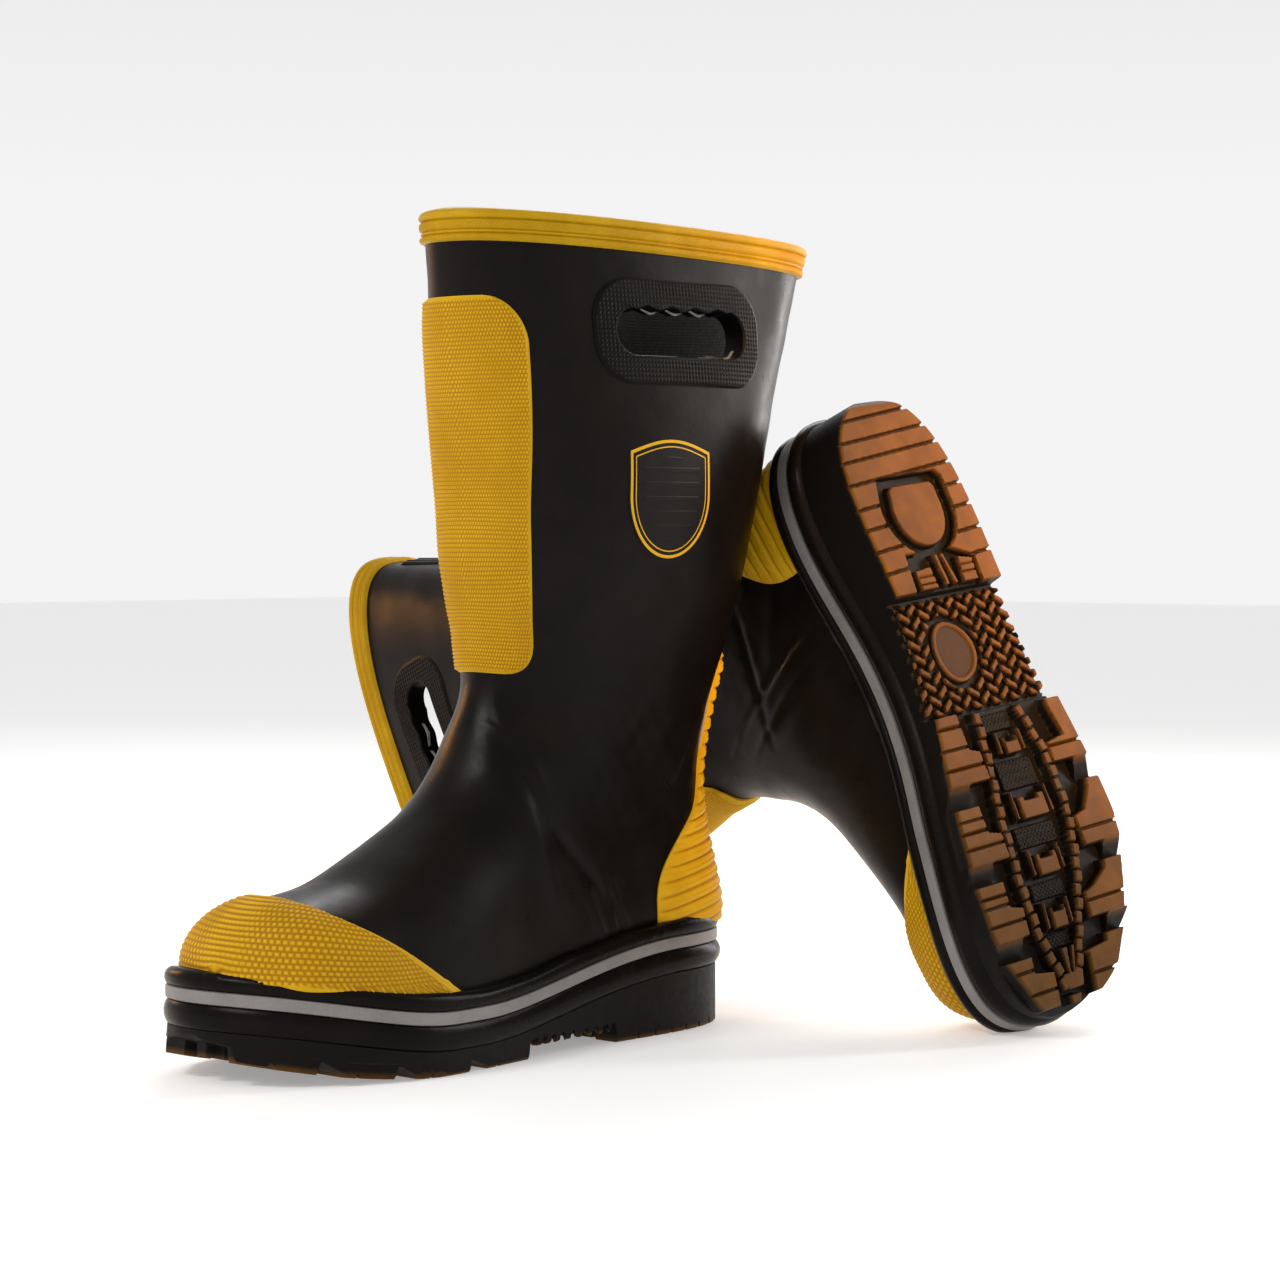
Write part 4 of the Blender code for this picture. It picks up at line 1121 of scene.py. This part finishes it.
def make_lower_foxing(side):
    points, normal = sole_outline(RING_COUNT)
    x = points[:, 0]
    heel_roll = 0.9 * (1 - smooth_step(x, 20, 90))
    profile = ((0.0, 0.1), (0.08, 0.8), (0.2, 1.5), (0.38, 2.0), (0.6, 2.1), (0.78, 1.6),
               (0.9, 0.9), (0.96, 0.4), (1.0, 0.0))
    net = strip_loops(points, normal, outsole_top(x) + 0.2, stripe_low(x), profile,
                      lambda share: heel_roll * math.sin(math.pi * share))
    piece = make_ring(side, "lower_foxing_roll", net, KIT["gloss"])
    return piece, "lower_foxing", "black_rubber"


# Tread blocks in plan, as outlines with x towards the toe and y to the outer side.
def outer_lug(first, last, inner, leg, rear, front):
    """An L: a bar along the edge and a leg that reaches in at its front end."""
    return [(first, rear - 12), (first, rear + 4), (last, front + 4), (last, inner), (leg, inner),
            (leg - 2, front - 16), (first + 4, rear - 13)]


def inner_lug(first, middle, last, narrow, wide, rear, front):
    """A stepped bar along the inner edge."""
    return [(first, narrow), (first, rear - 4), (last, front - 4), (last, wide), (middle + 2, wide),
            (middle, narrow)]


def polygon_depth(x, y, outline):
    """Signed distance into a closed outline: above 0 inside."""
    outline = np.array(outline, float)
    best = np.full(x.shape, 1e9)
    for p, q in zip(outline, np.roll(outline, -1, axis=0)):
        way = q - p
        length = max(math.hypot(*way), 1e-6)
        way = way / length
        t = np.clip((x - p[0]) * way[0] + (y - p[1]) * way[1], 0, length)
        best = np.minimum(best, np.hypot(x - p[0] - way[0] * t, y - p[1] - way[1] * t))
    return np.where(inside_outline(x, y, outline), best, -best)


class Tread:
    """The relief of the sole as a height above the ground at each point of a net."""

    def __init__(self, x, y):
        self.x, self.y = x, y
        floor = np.where(x < HEEL_BREAST, 0.0, np.where(x < TREAD_FRONT, SHANK_RISE, LUG_DEPTH))
        breast = smooth_step(x, HEEL_BREAST - 0.8, HEEL_BREAST + 0.8)
        self.height = np.where(x < TREAD_FRONT - 2, SHANK_RISE * breast, floor)

    def region(self, outline, margin=3.0):
        low = np.min(outline, axis=0) - margin
        high = np.max(outline, axis=0) + margin
        return (self.x > low[0]) & (self.x < high[0]) & (self.y > low[1]) & (self.y < high[1])

    def blend(self, outline, to, slope, choose):
        """Draws the height inside an outline towards a level, with a slope at its edge."""
        pick = self.region(outline)
        depth = polygon_depth(self.x[pick], self.y[pick], outline)
        share = smooth_step(depth, -0.25, slope - 0.25)
        now = self.height[pick]
        self.height[pick] = choose(now, now * (1 - share) + to * share)

    def raise_block(self, outline, to=0.0, slope=1.3):
        self.blend(outline, to, slope, np.minimum)

    def sink_block(self, outline, to, slope=1.1):
        self.blend(outline, to, slope, np.maximum)

    def groove(self, start, end, width=1.7, depth=3.0):
        a, b = np.array(start, float), np.array(end, float)
        way = b - a
        side = np.array((-way[1], way[0])) / np.hypot(*way) * width / 2
        self.sink_block([a - side, b - side, b + side, a + side], depth, slope=0.7)


def ring_outline(scale_x, scale_y, centre_x, centre_y):
    """A D with a flat back and a round front."""
    angles = [math.pi / 2 - math.pi * i / 18 for i in range(19)]
    plan = [(math.cos(angle) ** 0.9, math.sin(angle)) for angle in angles]
    plan += [(-0.55, -0.86), (-0.66, -0.7), (-0.66, 0.84), (-0.52, 0.98)]
    return [(centre_x + scale_x * a, centre_y + scale_y * b) for a, b in plan]


def carve_heel(tread):
    """Sipes across the heel, the D-shaped ring and the small lugs at the breast."""
    tilt = 7.0
    for at in (5, 16, 26, 38):
        tread.groove((at, 52), (at + tilt, -50), 1.7, 2.6)
    for at in (50, 62, 75, 88):
        tread.groove((at, 52), (at + 2.2, 24), 1.7, 2.6)
    for at in (56, 67, 79, 91):
        tread.groove((at, -20), (at + 2.2, -50), 1.7, 2.6)
    tread.sink_block(ring_outline(27, 28, 60, 1), 5.5)
    tread.raise_block(ring_outline(21, 19.5, 61, 1.5), 0.6)
    tread.sink_block([(84, -22), (112, -24), (112, 30), (90, 30), (84, 14)], 5.5)
    for block in ([(89, 17), (103.5, 15), (103.5, 27), (91, 28)],
                  [(93, -19), (104, -18), (104, -5), (92, -6)],
                  [(86, 4), (103.5, 8), (103.5, 11), (86, 7)],
                  [(86, -1), (103.5, 1), (103.5, 4), (86, 2.4)]):
        tread.raise_block(block, 0.4, slope=0.9)
    for at in (94, 98):
        tread.groove((at, 28), (at, 15), 0.9, 1.8)
        tread.groove((at + 3, -4), (at + 3, -20), 0.9, 1.8)


CHEVRON_WIDTH, CHEVRON_PITCH = 7.6, 7.4


def carve_shank(tread):
    """Rows of little chevrons under the arch, round a plain oval plate."""
    plate = [(136.5 + 16.5 * math.cos(a) * (1 - 0.12 * math.sin(a)), -5 + 16 * math.sin(a))
             for a in np.arange(28) * TURN / 28]
    x, y = tread.x, tread.y
    rows = (y + 60) / CHEVRON_WIDTH
    row = np.floor(rows)
    across = rows - row - 0.5
    lean = np.where(row % 2 == 0, 1.0, -1.0)
    phase = x / CHEVRON_PITCH + lean * (across * 0.75 - 1.2 * across ** 3) + 0.5 * (row % 2)
    ridge = smooth_step(np.cos(TURN * phase), -0.25, 0.35)
    ridge = ridge * smooth_step(0.5 - np.abs(across), 0.03, 0.13)
    rise = 3.4 * ridge * smooth_step(x, 107, 109.5) * (1 - smooth_step(x, 166.5, 168.5))
    clear = polygon_depth(x, y, plate)
    rise = rise * (1 - smooth_step(clear, -3.4, -2.4))
    tread.height -= rise
    tread.raise_block(plate, SHANK_RISE - 3.0, 1.0)
    inner = [(136.5 + (a - 136.5) * 0.84, -5 + (b + 5) * 0.82) for a, b in plate]
    tread.sink_block(inner, SHANK_RISE - 2.0, 0.7)


OUTER_ROW = ((171, 19), (198, 27), (228, 27), (256, 19), (282, 9), (300, 2), (316, -6))
INNER_ROW = ((170, -13), (198, -18), (226, -24.5), (256, -27), (284, -24), (304, -16), (318, -10))


def row_blocks(tread, row, width=5.0, pitch=7.0):
    """A rail along a line, cut into blocks that step a little from side to side."""
    path = np.array(row, float)
    length = walk(path)

    def at(distance, shift):
        spot = np.array([np.interp(distance, length, path[:, k]) for k in (0, 1)])
        way = np.array([np.interp(distance + 1, length, path[:, k]) for k in (0, 1)]) - spot
        if np.hypot(*way) < 1e-6:
            way = path[-1] - path[-2]
        return spot + np.array((-way[1], way[0])) / np.hypot(*way) * shift

    def block(first, last, step, to):
        low, high = step - width / 2, step + width / 2
        tread.raise_block([at(first, low), at(last, low), at(last, high), at(first, high)], to, 0.8)

    ends = np.arange(0, length[-1], pitch)
    for first, last in zip(ends[:-1], ends[1:]):
        block(first, last + 0.4, 0.0, 3.4)
    for i, (first, last) in enumerate(zip(ends[:-1], ends[1:])):
        block(first + 0.35, last - 0.35, 0.7 if i % 2 else -0.5, 0.9)


def centre_block(tread, first, last, low, high):
    """A notched block with a thin rib at each side."""
    middle = (low + high) / 2
    notch = (high - low) * 0.17
    tread.raise_block([(first + 3, low + 4), (first + 3, middle - notch), (first + 5.5, middle - notch),
                       (first + 5.5, middle + notch), (first + 3, middle + notch),
                       (first + 3, high - 4), (last, high - 4), (last, low + 4)], 0.8)
    for rib in ([(first, low), (last - 1, low - 0.5), (last - 1, low + 2), (first, low + 2)],
                [(first, high - 2), (last - 1, high - 2), (last - 1, high + 0.5), (first, high)]):
        tread.raise_block(rib, 1.4, 0.8)


# Gaps between lugs: heel-side end, toe-side end, how far in from the edge, and the side.
LUG_GAPS = (
    (205, 216, 46, 1), (250, 258, 44, 1), (285, 293, 30, 1),
    (205, 215, -38, -1), (245, 254, -42, -1), (284, 293, -36, -1),
)


def carve_gaps(tread):
    """Between two lugs the floor slopes up from the one nearer the toe."""
    x, y = tread.x, tread.y
    for first, last, reach, side in LUG_GAPS:
        share = np.clip((x - first) / (last - first), 0, 1)
        ramp = 1.6 + 4.4 * share
        here = (x > first - 1) & (x < last + 0.5) & (side * y > side * reach)
        tread.height = np.where(here, np.minimum(tread.height, ramp), tread.height)


def carve_forefoot(tread):
    """L-shaped lugs at the edges, a middle channel between two rows of blocks."""
    carve_gaps(tread)
    for lug in ((171, 205, 29, 193, 53, 60), (216, 250, 28, 233, 60, 54), (258, 285, 16, 271, 50, 40),
                (293, 319, 8, 301, 36, 18)):
        tread.raise_block(outer_lug(*lug))
        tread.groove((lug[1] - 9, 66), (lug[1] - 9, lug[2] - 2), 1.5, 2.4)
    for lug in ((168, 187, 205, -29, -22, -43, -50), (215, 229, 245, -38, -29, -52, -56),
                (254, 267, 284, -40, -31, -57, -54), (293, 301, 320, -34, -20, -50, -30)):
        tread.raise_block(inner_lug(*lug))
        for at in (lug[0] + 7, lug[1] - 1, lug[2] - 9):
            tread.groove((at, -66), (at, lug[4] + 2), 1.5, 2.4)
    for row in (OUTER_ROW, INNER_ROW):
        row_blocks(tread, row)
    for block in ((182, 195, -6, 14), (213, 229, -12, 17), (243, 258, -15, 10), (270, 285, -16, 4)):
        centre_block(tread, *block)
    for rib in ([(294, -11), (308, -9), (308, -7), (294, -6)],
                [(294, -3), (308, -6), (308, -4), (294, 0)]):
        tread.raise_block(rib, 1.4, 0.8)
    for block in ([(306, -14), (314, -12), (314, 0), (306, 2)],
                  [(316, -12), (321, -11), (321, -4), (316, -3)]):
        tread.raise_block(block, 0.8, 0.9)
    x, y = tread.x, tread.y
    for first, last, low, high in ((172, 181, -8, 14), (197, 212, -10, 18), (231, 242, -15, 16),
                                   (260, 269, -17, 8), (286, 293, -15, 2)):
        patch = (x > first) & (x < last) & (y > low) & (y < high)
        hatch = np.maximum(pulse(x + y, 3.0, 1.2), pulse(x - y, 3.0, 1.2))
        tread.height = np.where(patch, tread.height - 1.2 - 0.9 * hatch, tread.height)


def sole_edges(inset, spread):
    """Places along the sole, its ends, and its outer and inner edge there, moved in by inset."""
    points, normal = sole_outline(900)
    ring = points - normal * inset
    heel, toe = np.argmin(ring[:, 0]), np.argmax(ring[:, 0])
    ring = np.roll(ring, -heel, axis=0)
    toe = (toe - heel) % len(ring)
    outer, inner = ring[:toe + 1], ring[toe:][::-1]
    start, end = outer[0, 0], outer[-1, 0]
    x = spread(start, end)
    return x, start, end, *(np.interp(x, edge[:, 0], edge[:, 1]) for edge in (outer, inner))


WALL_COLUMNS = 7


def make_outsole(side):
    """The tread as one fine relief, with the outsole's wall round it and a flat top."""
    rows, cols = 641, 203
    even = np.linspace(0, 1, rows)
    ease = (1 - np.cos(even * math.pi)) / 2
    x_line, start, end, y_out, y_in = sole_edges(
        -0.4, lambda a, b: a + 0.02 + (b - a - 0.04) * (0.45 * even + 0.55 * ease))
    t = np.linspace(0, 1, cols)
    t = 0.9 * t + 0.1 * (1 - np.cos(t * math.pi)) / 2
    x = np.repeat(x_line[:, None], cols, axis=1)
    y = y_in[:, None] * (1 - t) + y_out[:, None] * t
    tread = Tread(x, y)
    carve_heel(tread)
    carve_shank(tread)
    carve_forefoot(tread)
    height = tread.height
    rim = np.minimum(y_out[:, None] - y, y - y_in[:, None])
    rim = np.minimum(rim, np.maximum(np.minimum(x - start, end - x) * 0.9, 0))
    soften = 0.9 * (1 - smooth_step(rim, 0, 1.4)) ** 2
    heel_round = 6.0 * (1 - np.clip((x - start) / 7.0, 0, 1)) ** 2.4
    toe_round = 2.5 * (1 - np.clip((end - x) / 6.0, 0, 1)) ** 2.4
    height = height + soften + heel_round + toe_round + spring(x)
    low_net = np.stack([x, y, np.minimum(height, outsole_top(x) - 1.0)], axis=-1)
    walls = []
    for edge, y_edge in ((0, y_in), (-1, y_out)):
        rim_z = low_net[:, edge, 2]
        top_z = outsole_top(x_line)
        wall = []
        for k in range(1, WALL_COLUMNS + 1):
            share = k / WALL_COLUMNS
            level = np.maximum(rim_z + 0.06 * k, rim_z.min() + (top_z - rim_z.min()) * share ** 1.2)
            level = np.minimum(level, top_z - 0.06 * (WALL_COLUMNS - k))
            wall.append(np.column_stack([x_line, y_edge, level]))
        walls.append(np.array(wall).transpose(1, 0, 2))
    net = np.concatenate([walls[0][:, ::-1], low_net, walls[1]], axis=1)
    out = np.sign(net[..., 1] - ((y_in + y_out) / 2)[:, None])
    flare = 1.5 * smooth_step(net[..., 0], 210, 300) * (1 - smooth_step(net[..., 2], 8, 24))
    spread = smooth_step(np.abs(net[..., 1]), 8, 30)
    net[..., 1] += out * flare * spread
    net[..., 0] += flare * smooth_step(net[..., 0], 296, 322)
    top_share = np.linspace(0, 1, net.shape[1])
    top_y = (y_in + 0.5)[:, None] * (1 - top_share) + (y_out - 0.5)[:, None] * top_share
    wide = np.repeat(x_line[:, None], net.shape[1], axis=1)
    top_net = np.stack([wide, top_y, outsole_top(wide)], axis=-1)
    level = height - spring(x)
    # raised sets the tread colour: ground faces get dust and painted warm light, grooves and walls stay
    # near black
    raised = 1 - np.clip(level / 5.0, 0, 1)
    shank = (x > HEEL_BREAST + 2) & (x < TREAD_FRONT - 2)
    raised = np.where(shank, np.clip((SHANK_RISE - 0.4 - level) / 3.0, 0, 0.9), raised)
    wall_tint = np.full((rows, WALL_COLUMNS), 0.12)
    raised = np.concatenate([wall_tint, raised, wall_tint], axis=1)
    piece = make_sheet(side, "tread_sole", net, top_net, KIT["tread"], values=raised, coarse=4)
    return piece, "outsole", "tread_rubber"


def make_insole(side):
    """The loose insole: a shaped pad with a rounded edge and a cupped heel."""
    ease = 1 - np.cos(np.linspace(0.02, math.pi - 0.02, 150))
    x_line, start, end, y_out, y_in = sole_edges(21.0, lambda a, b: a + (b - a) * ease / 2)
    t = np.linspace(0, 1, 60)
    x = np.repeat(x_line[:, None], 60, axis=1)
    y = y_in[:, None] * (1 - t) + y_out[:, None] * t
    base = footbed_level(x) + LINING_FLOOR + 1.2
    rim = np.minimum(y_out[:, None] - y, y - y_in[:, None])
    rim = np.minimum(rim, np.minimum(x - start, end - x) + 0.2)
    dome = 4.3 - 1.4 * (1 - smooth_step(rim, 0, 2.5))
    cup = 1.2 * (1 - smooth_step(rim, 1, 14)) * (1 - smooth_step(x, 60, 120))
    quilt = 0.22 * np.minimum(pulse(x + y, 9, 3), pulse(x - y, 9, 3))
    top = np.stack([x, y, base + 0.5 + dome + cup + quilt * smooth_step(rim, 2, 4)], axis=-1)
    low = np.stack([x, y, base + 0.5], axis=-1)
    piece = make_sheet(side, "footbed_insole", top, low, KIT["insole"])
    return piece, "removable_insole", "insole_cloth"


# ---------------------------------------------------------------- put together

def place(side, made, body=None):
    """Attaches a piece to the body that it rides and hides the node that it replaces."""
    piece, node, slot = made
    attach(piece, body or side + "_boot")
    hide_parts(side + "_" + node)


HIDDEN_PARTS = {
    "insulation_felt": "felt", "midsole_filler": "foam", "puncture_plate": "steel",
    "steel_shank": "steel", "insole_board": "board", "steel_toe_cap": "steel",
    "heel_counter": "board", "shin_pad": "foam",
}


def dress_node(name, material):
    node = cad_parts[name]
    for slot in node.material_slots:
        slot.material = material
    if not node.material_slots:
        node.data.materials.append(material)


for boot in ("left", "right"):
    for make in (make_shell, make_lining, make_shin_guard, make_toe_cover, make_heel_guard,
                 make_back_stay, make_badge, make_binding, make_upper_foxing, make_stripe,
                 make_lower_foxing, make_outsole):
        place(boot, make(boot))
    place(boot, make_grip(boot, "outer", 1))
    place(boot, make_grip(boot, "inner", -1))
    insole = make_insole(boot)
    place(boot, insole, boot + "_insole")
    for part, look in HIDDEN_PARTS.items():
        dress_node(boot + "_" + part, KIT[look])


# ---------------------------------------------------------------- stage, lights and camera

FLOOR_HALF = 9.0


def make_floor():
    look = Look("pale_floor", Roughness=0.55, Emission_Color=(1.0, 1.0, 1.0, 1.0),
                Emission_Strength=0.30)
    cloud = look.mix(look.noise(3.0, 3.0), (0.86, 0.86, 0.86), (0.90, 0.90, 0.90))
    mesh = bpy.data.meshes.new("floor")
    corners = [(a * FLOOR_HALF, b * FLOOR_HALF, 0) for a, b in ((-1, -1), (1, -1), (1, 1), (-1, 1))]
    mesh.from_pydata(corners, [], [(0, 1, 2, 3)])
    mesh.materials.append(look.finish(Base_Color=cloud))
    floor = bpy.data.objects.new("floor", mesh)
    bpy.context.scene.collection.objects.link(floor)


def add_light(name, spot, aim, size, power, colour, spread=180.0):
    data = bpy.data.lights.new(name, "AREA")
    data.shape = "RECTANGLE"
    data.size, data.size_y = size
    data.energy = power
    data.color = colour
    data.spread = math.radians(spread)
    lamp = bpy.data.objects.new(name, data)
    lamp.location = spot
    lamp.rotation_euler = (Vector(aim) - Vector(spot)).to_track_quat("-Z", "Y").to_euler()
    bpy.context.scene.collection.objects.link(lamp)


CAMERA_TURN = math.radians(43.36)
CAMERA_DOWN = 0.031
CAMERA_SPOT = (1.2324, -1.1873, 0.2479)
SENSOR = 36.0
LENS = 94.34


def make_camera():
    data = bpy.data.cameras.new("camera")
    data.sensor_width = SENSOR
    data.lens = LENS
    camera = bpy.data.objects.new("camera", data)
    camera.location = CAMERA_SPOT
    look = Vector((-math.sin(CAMERA_TURN), math.cos(CAMERA_TURN), -math.tan(CAMERA_DOWN)))
    camera.rotation_euler = look.to_track_quat("-Z", "Y").to_euler()
    bpy.context.scene.collection.objects.link(camera)
    bpy.context.scene.camera = camera


def beside_camera(right, forward, up):
    """A place given by how far right of, beyond and above the pair the camera sees it."""
    c, s = math.cos(CAMERA_TURN), math.sin(CAMERA_TURN)
    return (right * c - forward * s, right * s + forward * c, up)


def make_lights():
    bpy.context.scene.view_settings.view_transform = "Standard"
    world = bpy.data.worlds.new("studio")
    world.use_nodes = True
    tree = world.node_tree
    background = tree.nodes["Background"]
    direction = tree.nodes.new("ShaderNodeTexCoord").outputs["Generated"]
    parts = tree.nodes.new("ShaderNodeSeparateXYZ")
    tree.links.new(direction, parts.inputs[0])
    ramp = tree.nodes.new("ShaderNodeMapRange")
    tree.links.new(parts.outputs["Z"], ramp.inputs["Value"])
    ramp.inputs["From Min"].default_value, ramp.inputs["From Max"].default_value = 0.10, 0.55
    rise = ramp.outputs["Result"]
    tree.links.new(mix_colour(tree, rise, (0.90, 0.90, 0.90), (0.50, 0.50, 0.50)),
                   background.inputs["Color"])
    bpy.context.scene.world = world
    aim = (0, 0, 0.18)
    add_light("key", beside_camera(-1.3, -1.2, 1.7), aim, (0.7, 0.5), 20.0, (1.0, 0.98, 0.95))
    add_light("side", beside_camera(1.7, 0.5, 0.9), aim, (0.25, 1.0), 12.0, (1.0, 0.96, 0.92))
    add_light("warm", beside_camera(1.3, -1.1, 0.9), beside_camera(0.38, 0, 0.32), (0.3, 0.3), 1.2,
              (1.0, 0.50, 0.09), spread=13.0)
    add_light("ember", beside_camera(-1.2, 0.9, 0.6), aim, (0.4, 0.4), 4.5, (1.0, 0.42, 0.08))
    add_light("edge", beside_camera(1.2, 1.3, 0.55), (0, 0, 0.3), (0.3, 0.9), 7.0, (1.0, 0.97, 0.94))
    add_light("back", beside_camera(0.3, 1.6, 1.5), aim, (1.4, 0.6), 14.0, (1.0, 1.0, 1.0))


make_floor()
make_camera()
make_lights()
